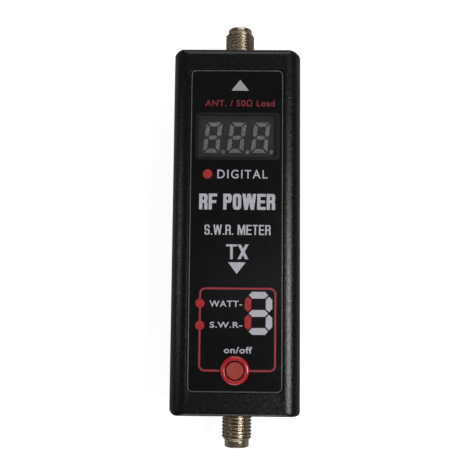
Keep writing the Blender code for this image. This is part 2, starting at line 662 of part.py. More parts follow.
def make_jack(name, side):
    """One edge-mount SMA jack: barrel, square base with four legs, PTFE sleeve and centre contact."""
    body = jack_barrel(f"{name}_body", side, NICKEL)
    middle = side * (BASE_OUTER_Y + BASE_INNER_Y) / 2
    base = box(f"{name}_base", (BASE_SIDE, BASE_THICKNESS, BASE_SIDE), (JACK_X, middle, JACK_Z))
    cut(base, cylinder(f"{name}_base_bore", (DIELECTRIC_RADIUS + THREAD_MINOR) / 2,
                       (JACK_X, middle - BASE_THICKNESS, JACK_Z), (JACK_X, middle + BASE_THICKNESS, JACK_Z)))
    join(body, base)
    low_leg_z = JACK_Z - BASE_SIDE / 2 + GAP + LEG_SIDE * LOW_LEG_SHARE / 2
    high_leg_z = RF_TOP_Z + 2 * GAP + LEG_SIDE / 2
    root = 4 * GAP
    for i, sx in enumerate((-1, 1)):
        x = JACK_X + sx * (BASE_SIDE / 2 - LEG_SIDE / 2 - GAP)
        leg_middle = side * (BASE_INNER_Y - LEG_LENGTH / 2 + root)
        low_size = (LEG_SIDE, LEG_LENGTH + 2 * root, LEG_SIDE * LOW_LEG_SHARE)
        high_size = (LEG_SIDE, LEG_LENGTH + 2 * root, LEG_SIDE)
        join(
            body,
            box(f"{name}_low_leg_{i}", low_size, (x, leg_middle, low_leg_z)),
            box(f"{name}_high_leg_{i}", high_size, (x, leg_middle, high_leg_z)),
        )
    face = JACK_TIP_Y - MOUTH_DEPTH
    sleeve = DIELECTRIC_RADIUS - SLIDE_FIT
    hole = CONTACT_RADIUS + SLIDE_FIT
    insulator = [(hole, face), (sleeve, face), (sleeve, BASE_INNER_Y), (hole, BASE_INNER_Y)]
    turned(f"{name}_insulator", insulator, (JACK_X, 0, JACK_Z), (0, side, 0), PTFE)
    tail = BASE_INNER_Y - CONTACT_TAIL
    bore_end = face - CONTACT_BORE_DEPTH
    contact = [
        (0, bore_end), (CONTACT_BORE, bore_end + 4 * GAP), (CONTACT_BORE, face - 2 * GAP),
        (CONTACT_BORE + 1.6 * GAP, face), (CONTACT_RADIUS, face), (CONTACT_RADIUS, tail), (0, tail),
    ]
    turned(f"{name}_contact", contact, (JACK_X, 0, JACK_Z), (0, side, 0), GOLD, SMALL_ROUND)


# ---- RF board ---------------------------------------------------------------------------------

def make_rf_board():
    board_size = (RF_WIDTH, 2 * RF_HALF_LENGTH, RF_THICKNESS)
    box("rf_board", board_size, (0, 0, RF_TOP_Z - RF_THICKNESS / 2), FIBREGLASS)
    copper_low = RF_TOP_Z + 0.4 * GAP
    copper_high = copper_low + COPPER
    line_size = (LINE_WIDTH, 2 * RF_HALF_LENGTH - 1.8 * MM, COPPER)
    box("main_line", line_size, (JACK_X, 0, (copper_low + copper_high) / 2), COPPER_FOIL)
    for name, sx in (("forward_coupled_line", -1), ("reflected_coupled_line", 1)):
        near = JACK_X + sx * COUPLED_SPACING
        far = JACK_X + sx * (COUPLED_SPACING + COUPLED_REACH)
        w, h = sx * COUPLED_WIDTH, COUPLED_HALF_LENGTH
        outline = [
            (near - w / 2, -h), (far, -h), (far, -h + COUPLED_WIDTH), (near + w / 2, -h + COUPLED_WIDTH),
            (near + w / 2, h - COUPLED_WIDTH), (far, h - COUPLED_WIDTH), (far, h), (near - w / 2, h),
        ]
        plate(name, outline, copper_low, copper_high, COPPER_FOIL)
    for i, sx in enumerate((-1, 1)):
        x = JACK_X + sx * (COUPLED_SPACING + LOAD_OFFSET)
        z = copper_high + GAP
        diode = (x, COUPLED_HALF_LENGTH + 8 * GAP, z + DIODE_SIZE[2] / 2)
        box(f"detector_diode_{i + 1}", DIODE_SIZE, diode, CHIP_BLACK)
        terminator = (x, -COUPLED_HALF_LENGTH - 4 * GAP, z + TERMINATOR_SIZE[2] / 2)
        box(f"line_terminator_{i + 1}", TERMINATOR_SIZE, terminator, CERAMIC)
    make_shield_can()


def make_shield_can():
    """A drawn tin cover over the coupler, open below, with a low arch at each end for the main line."""
    width, length, height = CAN_SIZE
    low = RF_TOP_Z + GAP
    half_x, half_y, middle = width / 2, length / 2, (JACK_X, 0)
    radius = 0.8 * MM
    outer = rounded_outline(half_x, half_y, radius, steps=3, centre=middle)
    inner = rounded_outline(half_x - CAN_WALL, half_y - CAN_WALL, radius - CAN_WALL, steps=3, centre=middle)
    can = plate("rf_shield_can", outer, low, low + height, TIN)
    arch = box("can_arch", (LINE_WIDTH + CAN_ARCH, length + 2 * OVERSHOOT, CAN_ARCH), (JACK_X, 0, low))
    cut(can, plate("can_inside", inner, low - OVERSHOOT, low + height - CAN_WALL), arch)


# ---- chips and headers ------------------------------------------------------------------------

def make_chip(name, size, place, pins, pitch):
    """A small-outline chip: a body with a row of flat leads along each long side."""
    (x, y), z = place, MAIN_TOP_Z + GAP
    chip = box(name, size, (x, y, z + size[2] / 2 + CHIP_STANDOFF), CHIP_BLACK)
    for i, sx in enumerate((-1, 1)):
        lead_x = x + sx * (size[0] / 2 + 0.3 * LEAD_SPAN)
        first = (lead_x, y - pitch * (pins - 1) / 2, z + LEAD_HEIGHT / 2)
        leads = box(f"{name}_leads_{i}", (LEAD_SPAN, pitch * 0.4, LEAD_HEIGHT), first)
        row = leads.modifiers.new("row", "ARRAY")
        row.count = pins
        row.use_relative_offset = False
        row.use_constant_offset = True
        row.constant_offset_displace = (0, pitch, 0)
        join(chip, leads)
    return chip


def make_link_header():
    """The four-way pin header that carries the detector voltages up from the RF board."""
    low = RF_TOP_Z + GAP
    high = MAIN_BOTTOM_Z - GAP
    x, middle = JACK_X - 5.0 * MM, (low + high) / 2
    width, height = LINK_BODY
    header = box("link_header", (width, LINK_PINS * LINK_PITCH, height), (x, LINK_Y, middle), CHIP_BLACK)
    for i in range(LINK_PINS):
        pin_y = LINK_Y + (i - (LINK_PINS - 1) / 2) * LINK_PITCH
        join(header, box(f"link_pin_{i}", (LINK_PIN, LINK_PIN, high - low), (x, pin_y, middle)))


# ---- main board -------------------------------------------------------------------------------

def make_main_board():
    wide, neck = MAIN_HALF_WIDTH, MAIN_NECK_HALF_WIDTH
    half = [(wide, -MAIN_NECK_Y), (wide, MAIN_NECK_Y), (neck, MAIN_NECK_Y), (neck, MAIN_HALF_LENGTH)]
    corner = (neck, -MAIN_HALF_LENGTH), (neck, -MAIN_NECK_Y)
    outline = [*corner, *half] + [(-x, y) for x, y in reversed([*corner, *half])]
    board = plate("main_board", outline, MAIN_BOTTOM_Z, MAIN_TOP_Z, FIBREGLASS)
    for i, (x, y) in enumerate(post_places()):
        low, high = (x, y, MAIN_BOTTOM_Z - OVERSHOOT), (x, y, MAIN_TOP_Z + OVERSHOOT)
        cut(board, cylinder(f"board_hole_{i}", BOARD_SCREW_BORE + 2 * GAP, low, high, sides=SMALL_ROUND))
        make_board_screw(f"board_screw_{i + 1}", x, y)
    pin_hole = (PIN_SIZE[0] + 6 * GAP, PIN_SIZE[1] + 6 * GAP, 3 * MAIN_THICKNESS)
    for i, (x, y) in enumerate(display_pin_places()):
        cut(board, box(f"pin_hole_{i}", pin_hole, (x, y, MAIN_TOP_Z)))


def make_board_screw(name, x, y):
    radius, height = BOARD_SCREW_HEAD
    seat = MAIN_BOTTOM_Z - GAP
    head = seat - height
    tip = MAIN_TOP_Z + BOARD_SCREW_ABOVE
    profile = [
        (0, tip), (0.4 * BOARD_SCREW_RADIUS, tip), (BOARD_SCREW_RADIUS, tip - height),
        (BOARD_SCREW_RADIUS, seat), (radius, seat), (radius, head + 0.4 * height),
        (0.7 * radius, head), (0, head),
    ]
    screw = turned(name, profile, (x, y, 0), (0, 0, 1), STEEL, SMALL_ROUND)
    cut(screw, *cross_recess(name, (x, y, head), *BOARD_SCREW_CROSS))


def display_pin_places():
    first = -PIN_PITCH * (DISPLAY_PINS - 1) / 2
    rows = [DISPLAY_Y - PIN_ROW_Y, DISPLAY_Y + PIN_ROW_Y]
    return [(first + i * PIN_PITCH, y) for y in rows for i in range(DISPLAY_PINS)]


# ---- display ----------------------------------------------------------------------------------

def segment_outlines():
    """The seven segments of one digit before it is slanted, each an outline about the digit's centre."""
    w, h, t, g = DIGIT_HALF_WIDTH, DIGIT_HALF_HEIGHT, SEGMENT, SEGMENT_GAP
    top = [(-w + 2 * g, h), (-w + t + g, h - t), (w - t - g, h - t), (w - 2 * g, h)]
    upper_right = [(w, h - 2 * g), (w - t, h - t - g), (w - t, t / 2 + g), (w - t / 2, g), (w, t / 2 + g)]
    middle = [
        (-w + t / 2 + 2 * g, 0), (-w + t + 2 * g, -t / 2), (w - t - 2 * g, -t / 2),
        (w - t / 2 - 2 * g, 0), (w - t - 2 * g, t / 2), (-w + t + 2 * g, t / 2),
    ]

    def flipped(outline, sx, sy):
        return [(sx * x, sy * y) for x, y in outline]

    return [
        top, flipped(top, 1, -1), middle, upper_right, flipped(upper_right, -1, 1),
        flipped(upper_right, 1, -1), flipped(upper_right, -1, -1),
    ]


def grown(outline, by):
    """The outline moved outwards by this much along its corners' directions from its centre."""
    cx = sum(x for x, _ in outline) / len(outline)
    cy = sum(y for _, y in outline) / len(outline)
    moved = []
    for x, y in outline:
        reach = math.hypot(x - cx, y - cy)
        moved.append((x + (x - cx) / reach * by, y + (y - cy) / reach * by))
    return moved


def lit_places(growth):
    """Every segment and decimal point of the three digits, as outlines on the display's face."""
    slant = math.tan(DIGIT_SLANT)
    found = []
    for digit in (-1, 0, 1):
        cx = digit * DIGIT_PITCH + DIGIT_SHIFT
        for outline in segment_outlines():
            found.append([(cx + x + y * slant, DISPLAY_Y + y) for x, y in grown(outline, growth)])
        px = cx + DIGIT_HALF_WIDTH + POINT_OFFSET[0]
        py = DISPLAY_Y - DIGIT_HALF_HEIGHT + POINT_OFFSET[1]
        radius = POINT_RADIUS + growth
        found.append([
            (px + radius * math.cos(math.tau * i / 10), py + radius * math.sin(math.tau * i / 10))
            for i in range(10)
        ])
    return found


def prisms(name, outlines, low_z, high_z):
    """One helper mesh that holds a prism for each outline."""
    shape = bmesh.new()
    for outline in outlines:
        lower = [shape.verts.new((x, y, low_z)) for x, y in outline]
        upper = [shape.verts.new((x, y, high_z)) for x, y in outline]
        shape.faces.new(lower)
        shape.faces.new(upper)
        for i in range(len(outline)):
            j = (i + 1) % len(outline)
            shape.faces.new((lower[i], lower[j], upper[j], upper[i]))
    return add_object(name, mesh_from(name, shape))


def make_display():
    """A three-digit LED module: a grey reflector housing, its cast resin and two rows of pins."""
    width, height, depth = DISPLAY_SIZE
    low = MAIN_TOP_Z + GAP
    top = low + depth
    room_x, room_y = width - RESIN_ROOM_MARGIN[0], height - RESIN_ROOM_MARGIN[1]
    housing = box("display_housing", (width, height, depth), (0, DISPLAY_Y, low + depth / 2), DISPLAY_GREY)
    cut(
        housing,
        box("resin_room", (room_x, room_y, 2 * RESIN_DEPTH), (0, DISPLAY_Y, low)),
        prisms("segment_holes", lit_places(0.0), low, top + OVERSHOOT),
    )
    slab_low, slab_top = low + 6 * GAP, low + RESIN_DEPTH - GAP
    slab_size = (room_x - 2 * GAP, room_y - 2 * GAP, slab_top - slab_low)
    resin = box("display_resin", slab_size, (0, DISPLAY_Y, (slab_top + slab_low) / 2), SEGMENT_WHITE)
    join(resin, prisms("segment_fill", lit_places(-0.8 * GAP), slab_low + 8 * GAP, top - GAP))
    pin_low, pin_high = MAIN_BOTTOM_Z - PIN_BELOW_BOARD, low + 4 * GAP
    bar_size = (PIN_PITCH * (DISPLAY_PINS - 1) + PIN_SIZE[0], PIN_SIZE[1] + 0.8 * GAP, 4 * GAP)
    for name, side in (("display_pins_lower", -1), ("display_pins_upper", 1)):
        y = DISPLAY_Y + side * PIN_ROW_Y
        bar = box(name, bar_size, (0, y, low + 2.4 * GAP), TIN)
        for i in range(DISPLAY_PINS):
            x = (i - (DISPLAY_PINS - 1) / 2) * PIN_PITCH
            middle = (x, y, (pin_low + pin_high) / 2)
            join(bar, box(f"{name}_{i}", (*PIN_SIZE, pin_high - pin_low), middle))


# ---- push button ------------------------------------------------------------------------------

def make_button():
    """A red cap in a fixed red ring. It presses a tactile switch on the main board."""
    at = (0, BUTTON_Y, 0)
    ring_low = RECESS_FLOOR_Z + OVERLAY_THICKNESS + 2 * GAP
    ring_middle = (BEZEL_BORE + BEZEL_RADIUS) / 2
    ring = [
        (BEZEL_BORE, BEZEL_LOW_Z), (BEZEL_BORE, BEZEL_TOP_Z - 0.35 * MM),
        (BEZEL_BORE + 0.15 * MM, BEZEL_TOP_Z - 0.1 * MM), (ring_middle, BEZEL_TOP_Z),
        (BEZEL_RADIUS - 0.15 * MM, BEZEL_TOP_Z - 0.15 * MM),
        (BEZEL_RADIUS, BEZEL_TOP_Z - 0.45 * MM), (BEZEL_RADIUS, ring_low), (BEZEL_SLEEVE, ring_low),
        (BEZEL_SLEEVE, BEZEL_LOW_Z),
    ]
    turned("button_bezel", ring, at, (0, 0, 1), RED)
    flange_radius, flange_thickness = CAP_FLANGE
    flange_top = BEZEL_LOW_Z - GAP
    flange_low = flange_top - flange_thickness
    foot = PLUNGER_TOP_Z + GAP
    edge = 4 * GAP
    cap = [
        (0, CAP_TOP_Z), (CAP_RADIUS - edge, CAP_TOP_Z), (CAP_RADIUS, CAP_TOP_Z - edge),
        (CAP_RADIUS, flange_top), (flange_radius, flange_top), (flange_radius, flange_low),
        (CAP_STEM_RADIUS, flange_low), (CAP_STEM_RADIUS, foot), (0, foot),
    ]
    turned("button_cap", cap, at, (0, 0, 1), RED_CAP)
    make_switch(at)


def make_switch(at):
    """The tactile switch: base, cover plate, snap dome, plunger and two terminals."""
    low = MAIN_TOP_Z + SWITCH_STANDOFF
    floor = low + SWITCH_FLOOR
    base_size = (SWITCH_SIDE, SWITCH_SIDE, SWITCH_TOP_Z - low)
    base = box("switch_base", base_size, (0, BUTTON_Y, (SWITCH_TOP_Z + low) / 2), CHIP_BLACK)
    above, below = (0, BUTTON_Y, SWITCH_TOP_Z + OVERSHOOT), (0, BUTTON_Y, SWITCH_TOP_Z - OVERSHOOT)
    cut(base, cylinder("switch_well", SWITCH_WELL_RADIUS, (0, BUTTON_Y, floor), above))
    cover_size = (SWITCH_SIDE, SWITCH_SIDE, COVER_THICKNESS)
    cover = box("switch_cover", cover_size, (0, BUTTON_Y, SWITCH_TOP_Z + GAP + COVER_THICKNESS / 2), TIN)
    cut(cover, cylinder("cover_hole", COVER_HOLE_RADIUS, below, above))
    dome_low = floor + GAP
    crown = dome_low + DOME_HEIGHT
    dome = [
        (0, crown), (0.55 * DOME_RADIUS, dome_low + 0.83 * DOME_HEIGHT),
        (DOME_RADIUS, dome_low + 0.2 * DOME_HEIGHT), (DOME_RADIUS, dome_low),
        (0.5 * DOME_RADIUS, dome_low + 0.6 * DOME_HEIGHT), (0, crown - DOME_SHEET),
    ]
    turned("switch_dome", dome, at, (0, 0, 1), STEEL, SMALL_ROUND)
    flange_top, flange_low = SWITCH_TOP_Z - GAP, crown + PLUNGER_FLANGE_ABOVE_DOME
    edge = 2 * GAP
    plunger = [
        (0, PLUNGER_TOP_Z), (PLUNGER_RADIUS - edge, PLUNGER_TOP_Z), (PLUNGER_RADIUS, PLUNGER_TOP_Z - edge),
        (PLUNGER_RADIUS, flange_top), (PLUNGER_FLANGE_RADIUS, flange_top),
        (PLUNGER_FLANGE_RADIUS, flange_low), (PLUNGER_NUB_RADIUS, flange_low),
        (PLUNGER_NUB_RADIUS, crown + GAP), (0, crown + GAP),
    ]
    turned("switch_plunger", plunger, at, (0, 0, 1), CHIP_BLACK)
    terminal_z = MAIN_TOP_Z + GAP + TERMINAL_SIZE[2] / 2
    for name, side in (("switch_terminal_left", -1), ("switch_terminal_right", 1)):
        soften(box(name, TERMINAL_SIZE, (side * TERMINAL_X, BUTTON_Y, terminal_z), TIN), GAP)


# ---- USB charging socket ----------------------------------------------------------------------

def make_usb_socket():
    """A micro-USB socket lying on the main board, with its mouth in the case's left wall."""
    depth, width, height = USB_SIZE
    middle = (USB_Y, MAIN_TOP_Z + GAP + height / 2)
    back_x = USB_MOUTH_X + depth
    inner_y, inner_z = width / 2 - USB_SHEET, height / 2 - USB_SHEET
    outline = rounded_outline(width / 2, height / 2, USB_RADIUS, steps=3, centre=middle)
    inside = rounded_outline(inner_y, inner_z, USB_RADIUS - USB_SHEET, steps=3, centre=middle)
    shell = plate("usb_shell", outline, USB_MOUTH_X, back_x, TIN, along_x=True)
    cut(shell, plate("usb_inside", inside, USB_MOUTH_X - OVERSHOOT, back_x - USB_SHEET, along_x=True))
    tongue_x = back_x - USB_SHEET - GAP - USB_TONGUE[0] / 2
    box("usb_tongue", USB_TONGUE, (tongue_x, USB_Y, middle[1] + USB_TONGUE_RISE), CHIP_BLACK)


# ---- battery ----------------------------------------------------------------------------------

def wire(name, points, finish):
    """A lead along a smooth line through the points."""
    curve = bpy.data.curves.new(name, "CURVE")
    curve.dimensions = "3D"
    curve.bevel_depth = LEAD_RADIUS
    curve.bevel_resolution = 2
    curve.use_fill_caps = True
    line = smooth_line([Vector(point) for point in points], 4)
    spline = curve.splines.new("POLY")
    spline.points.add(len(line) - 1)
    for place, point in zip(spline.points, line):
        place.co = (*point, 1)
    return add_object(name, curve, finish)


def smooth_line(points, per_span):
    """Points along a Catmull-Rom curve through the given ones."""
    padded = [2 * points[0] - points[1], *points, 2 * points[-1] - points[-2]]
    line = []
    for a, b, c, d in zip(padded, padded[1:], padded[2:], padded[3:]):
        for step in range(per_span):
            t = step / per_span
            line.append(0.5 * (2 * b + (c - a) * t + (2 * a - 5 * b + 4 * c - d) * t ** 2
                               + (3 * b - a - 3 * c + d) * t ** 3))
    return [*line, points[-1]]


def make_battery():
    length, height = BATTERY_SIZE[1:]
    middle = BATTERY_BOTTOM_Z + height / 2
    soften(box("battery_cell", BATTERY_SIZE, (0, 0, middle), POUCH), BATTERY_EDGE, 2)
    pad_low, pad_high = WALL + GAP, BATTERY_BOTTOM_Z - GAP
    box("battery_pad", (*PAD_SIZE, pad_high - pad_low), (0, 0, (pad_low + pad_high) / 2), FOAM)
    guard_y, guard_z = length / 2 + GUARD_OFFSET, middle + GUARD_RISE
    box("battery_guard_board", GUARD_SIZE, (0, guard_y, guard_z), FIBREGLASS)
    socket_x, socket_y = SOCKET_PLACE
    socket_z = MAIN_BOTTOM_Z - GAP - SOCKET_SIZE[2] / 2
    box("battery_socket", SOCKET_SIZE, (socket_x, socket_y, socket_z), PTFE)
    start_x = GUARD_SIZE[0] / 2 + 5 * GAP
    end_y = socket_y - SOCKET_SIZE[1] / 2 - GAP
    for name, finish, side in (("battery_lead_positive", RED, 1), ("battery_lead_negative", CHIP_BLACK, -1)):
        shift = side * LEAD_SPACING / 2
        x = socket_x - shift
        wire(name, [
            (start_x, guard_y + shift, guard_z),
            (start_x + 0.75 * MM - 0.4 * shift, guard_y + shift, guard_z + 0.1 * MM),
            (x, guard_y + 0.6 * MM + 0.8 * shift, guard_z + 1.8 * MM),
            (x, guard_y + 1.5 * MM + 0.3 * shift, socket_z - 2.2 * MM),
            (x, end_y - 1.6 * MM, socket_z - 0.2 * MM),
            (x, end_y, socket_z),
        ], finish)


clear_scene()
METER = new_collection("swr_meter")
CUTTERS = new_collection("cutters", hidden=True)

PLASTIC = material("black_plastic", (0.012, 0.012, 0.013), 0.45)
OVERLAY = material("overlay_film", (0.008, 0.008, 0.009), 0.35)
CLEAR = material("clear_plastic", (0.25, 0.26, 0.27), 0.1, alpha=0.35)
LABEL = material("silver_label", (0.5, 0.5, 0.5), 0.4, 0.3)
STEEL = material("zinc_steel", (0.45, 0.45, 0.46), 0.35, 1.0)
NICKEL = material("nickel_plate", (0.42, 0.38, 0.33), 0.28, 1.0)
PTFE = material("white_plastic", (0.8, 0.8, 0.78), 0.5)
GOLD = material("gold_plate", (0.83, 0.6, 0.22), 0.25, 1.0)
FIBREGLASS = material("green_fibreglass", (0.02, 0.11, 0.05), 0.4)
COPPER_FOIL = material("tinned_copper", (0.72, 0.55, 0.35), 0.3, 1.0)
TIN = material("tin_plate", (0.55, 0.55, 0.54), 0.3, 1.0)
CHIP_BLACK = material("moulding_black", (0.02, 0.02, 0.022), 0.5)
CERAMIC = material("resistor_ceramic", (0.6, 0.58, 0.55), 0.4)
DISPLAY_GREY = material("display_grey", (0.05, 0.052, 0.05), 0.45)
SEGMENT_WHITE = material("segment_resin", (0.4, 0.42, 0.4), 0.35)
RED = material("red_plastic", (0.5, 0.02, 0.03), 0.2)
RED_CAP = material("red_cap_plastic", (0.36, 0.05, 0.035), 0.5)
POUCH = material("battery_pouch", (0.55, 0.56, 0.58), 0.35, 0.6)
FOAM = material("grey_foam", (0.15, 0.15, 0.15), 0.9)

through_hole = jack_hole()
make_front_shell(through_hole)
make_rear_shell(through_hole)
make_case_screws()
make_overlay()
make_window()
make_rear_label()
make_jack("ant_jack", 1)
make_jack("tx_jack", -1)
make_rf_board()
make_link_header()
make_main_board()
make_display()
make_button()
make_usb_socket()
for chip_values in CHIPS:
    make_chip(*chip_values)
make_battery()
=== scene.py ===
"""The looks of the in-line SWR meter: fine surfaces, printed legends, materials, light and camera."""
import json
import math

import bmesh
import bpy
import numpy as np
from mathutils import Matrix, Vector


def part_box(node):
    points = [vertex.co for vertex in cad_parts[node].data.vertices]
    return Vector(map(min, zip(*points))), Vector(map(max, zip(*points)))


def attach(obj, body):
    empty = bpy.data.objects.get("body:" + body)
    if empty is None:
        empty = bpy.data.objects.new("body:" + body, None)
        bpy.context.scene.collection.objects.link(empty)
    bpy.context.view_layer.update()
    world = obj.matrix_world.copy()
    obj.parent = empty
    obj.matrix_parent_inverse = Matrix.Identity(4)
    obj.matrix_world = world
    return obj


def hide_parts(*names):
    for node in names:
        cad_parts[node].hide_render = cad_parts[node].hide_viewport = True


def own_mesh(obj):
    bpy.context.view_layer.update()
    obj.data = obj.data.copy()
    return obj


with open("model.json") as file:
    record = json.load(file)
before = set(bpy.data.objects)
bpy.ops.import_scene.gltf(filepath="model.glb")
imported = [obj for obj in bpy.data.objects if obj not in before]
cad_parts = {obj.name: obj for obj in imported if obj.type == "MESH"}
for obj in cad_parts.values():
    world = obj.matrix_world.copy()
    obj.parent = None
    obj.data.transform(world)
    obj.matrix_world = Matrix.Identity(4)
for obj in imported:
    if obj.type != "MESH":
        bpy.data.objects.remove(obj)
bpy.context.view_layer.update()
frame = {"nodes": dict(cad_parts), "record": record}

MM = 0.001


def middle_of(low, high):
    return tuple((a + b) / 2 for a, b in zip(low, high))


def half_of(low, high):
    return tuple((b - a) / 2 for a, b in zip(low, high))


# ---- places and sizes that come from the frame ----
front_low, front_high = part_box("front_shell")
HALF_WIDTH, HALF_LENGTH, DEPTH = front_high
REAR_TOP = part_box("rear_shell")[1][2]
PARTING_Z = DEPTH / 2
SEAM = front_low[2] - PARTING_Z
WALL = 1.6 * MM
FRONT_WALL = 2.0 * MM
PAST = 1 * MM  # how far a cutter reaches past what it cuts

overlay_low, overlay_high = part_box("front_overlay")
OVERLAY_HALF_X, OVERLAY_HALF_Y, OVERLAY_TOP = overlay_high
OVERLAY_RADIUS = 1.0 * MM
RECESS_MARGIN = 0.30 * MM
RECESS_FLOOR_Z = overlay_low[2] - 0.05 * MM

window_low, window_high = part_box("display_window")
WINDOW_CENTRE = middle_of(window_low, window_high)[:2]
WINDOW_HALF = half_of(window_low, window_high)[:2]

bezel_low, bezel_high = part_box("button_bezel")
BUTTON_Y = middle_of(bezel_low, bezel_high)[1]
BEZEL_RADIUS = half_of(bezel_low, bezel_high)[0]
BEZEL_HOLE_RADIUS = 2.6 * MM  # the hole for the ring in the overlay and its printing
cap_low, cap_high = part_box("button_cap")

insulator_low, insulator_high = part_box("ant_jack_insulator")
JACK_X, _, JACK_Z = middle_of(insulator_low, insulator_high)
JACK_TIP_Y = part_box("ant_jack_body")[1][1]
JACK_FACE_Y = insulator_high[1]
JACK_ROOT_Y = insulator_low[1]

SHOULDER_RADIUS = 3.25 * MM
ANTENNA_EDGE_RADIUS = 1.5 * MM
TRANSMITTER_EDGE_RADIUS = 0.8 * MM
BACK_EDGE_RADIUS = 1.2 * MM
# The case's corner radii across and along: antenna right and left, then transmitter left and right.
CORNER_RADII = ((2.6 * MM, 1.4 * MM), (2.0 * MM, 1.1 * MM), (1.1 * MM, 1.1 * MM), (0.7 * MM, 0.7 * MM))
INK = 0.012 * MM  # height of the printed ink on the overlay
SMOOTH_ANGLE = 32  # degrees
QUARTERS = ((1, 1), (-1, 1), (-1, -1), (1, -1))


# ---- meshes ----

def linked(name, data):
    obj = bpy.data.objects.new(name, data)
    bpy.context.scene.collection.objects.link(obj)
    return obj


def new_object(name, mesh, material, smooth=SMOOTH_ANGLE):
    """An object in the scene, shaded smooth up to the angle in degrees."""
    mesh.name = name
    mesh.shade_smooth()
    mesh.set_sharp_from_angle(angle=math.radians(smooth))
    mesh.materials.clear()
    mesh.materials.append(material)
    return linked(name, mesh)


def piece(obj, slot, *nodes, body="case"):
    """Fastens a finished piece to its body, and lets it stand for the CAD nodes it remakes."""
    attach(obj, body)
    if nodes:
        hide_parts(*nodes)
    return obj


def mesh_of(shape):
    """A mesh from a bmesh, which it frees, with its faces pointing out."""
    bmesh.ops.recalc_face_normals(shape, faces=shape.faces)
    mesh = bpy.data.meshes.new("mesh")
    shape.to_mesh(mesh)
    shape.free()
    return mesh


def shape_of(mesh):
    """A bmesh that takes the place of a mesh."""
    shape = bmesh.new()
    shape.from_mesh(mesh)
    bpy.data.meshes.remove(mesh)
    return shape


def evaluated_mesh(obj):
    bpy.context.view_layer.update()
    graph = bpy.context.evaluated_depsgraph_get()
    return bpy.data.meshes.new_from_object(obj.evaluated_get(graph), depsgraph=graph)


def loft(rings, ends=True):
    """A skin over rings that have the same number of points. Without ends the last ring meets the first."""
    count = len(rings[0])
    points = [point for ring in rings for point in ring]
    faces = []
    for level in range(len(rings) if not ends else len(rings) - 1):
        low, high = level * count, (level + 1) % len(rings) * count
        for i in range(count):
            j = (i + 1) % count
            faces.append((low + i, low + j, high + j, high + i))
    if ends:
        last = (len(rings) - 1) * count
        faces.append(tuple(range(count)))
        faces.append(tuple(range(last, last + count)))
    mesh = bpy.data.meshes.new("skin")
    mesh.from_pydata(points, [], faces)
    return mesh_of(shape_of(mesh))


def turned(profile, centre, axis="Z", sides=96):
    """A closed profile of (radius, distance) points, turned about an axis through the centre."""
    rings = []
    for side in range(sides):
        angle = math.tau * side / sides
        across, up = math.cos(angle), math.sin(angle)
        if axis == "Z":
            rings.append([(r * across, r * up, d) for r, d in profile])
        else:
            rings.append([(r * across, d, -r * up) for r, d in profile])
    shape = shape_of(loft(rings, ends=False))
    bmesh.ops.remove_doubles(shape, verts=shape.verts, dist=0.0005 * MM)
    bmesh.ops.translate(shape, vec=centre, verts=shape.verts)
    return mesh_of(shape)


def rounded(corners, steps):
    """An outline, anticlockwise, from each corner's centre (x, y) and its radii across and along."""
    points = []
    for quarter, (x, y, across, along) in enumerate(corners):
        for step in range(steps + 1):
            angle = math.pi / 2 * (quarter + step / steps)
            points.append((x + across * math.cos(angle), y + along * math.sin(angle)))
    return points


def outline(half_x, half_y, radius, steps=10, centre=(0, 0)):
    """A rectangle with rounded corners."""
    (x, y), reach_x, reach_y = centre, half_x - radius, half_y - radius
    return rounded([(x + sx * reach_x, y + sy * reach_y, radius, radius) for sx, sy in QUARTERS], steps)


def hole_profile(radius, low, high):
    """The profile of a round hole, for turned()."""
    return [(0, low), (radius, low), (radius, high), (0, high)]


def at_height(points, z):
    """A flat outline, level at a height."""
    return [(x, y, z) for x, y in points]


def upright_at(points, x):
    """A flat outline, standing across the meter at x."""
    return [(x, y, z) for y, z in points]


def slab(points, low, high):
    """A flat outline between two heights."""
    return loft([at_height(points, low), at_height(points, high)])


def arc_steps(radius, steps):
    """(inset, drop) pairs round a quarter circle, from the top face's edge to the side wall."""
    return [
        (radius * (1 - math.sin(a)), radius * (1 - math.cos(a)))
        for a in (math.pi / 2 * step / steps for step in range(steps + 1))
    ]


def pillow(half_x, half_y, corner, low, high, round_edge, centre=(0, 0)):
    """A flat piece with rounded corners and a rounded upper edge."""
    rings = [at_height(outline(half_x, half_y, corner, centre=centre), low)]
    for inset, drop in reversed(arc_steps(round_edge, 5)):
        points = outline(half_x - inset, half_y - inset, max(corner - inset, 0.02 * MM), centre=centre)
        rings.append(at_height(points, high - drop))
    return loft(rings)


def cut(obj, *cutters):
    """Takes the cutters' meshes out of the object, for good."""
    for mesh in cutters:
        tool = linked("cutter", mesh)
        step = obj.modifiers.new("cut", "BOOLEAN")
        step.operation = "DIFFERENCE"
        step.solver = "EXACT"
        step.object = tool
        carved = evaluated_mesh(obj)
        obj.modifiers.clear()
        obj.data = carved
        bpy.data.objects.remove(tool)
    return obj


def finish_edges(obj, width=0.0):
    """Rounds the sharp edges by width and keeps flat faces flat in the shading."""
    if width:
        bevel = obj.modifiers.new("bevel", "BEVEL")
        bevel.width = width
        bevel.segments = 3
        bevel.limit_method = "ANGLE"
        bevel.angle_limit = math.radians(35)
    obj.data.shade_smooth()
    obj.data.set_sharp_from_angle(angle=math.radians(SMOOTH_ANGLE))
    flat = obj.modifiers.new("normals", "WEIGHTED_NORMAL")
    flat.keep_sharp = True
    return obj


# ---- materials ----

def srgb(red, green, blue):
    """A colour given as it looks on screen, 0 to 255."""
    shares = (red / 255, green / 255, blue / 255)
    return tuple(c / 12.92 if c < 0.0404 else ((c + 0.055) / 1.055) ** 2.4 for c in shares)


def settle(node, **values):
    """Sets a node's sockets, whose names have _ for a space."""
    for socket, value in values.items():
        node.inputs[socket.replace("_", " ")].default_value = value
    return node


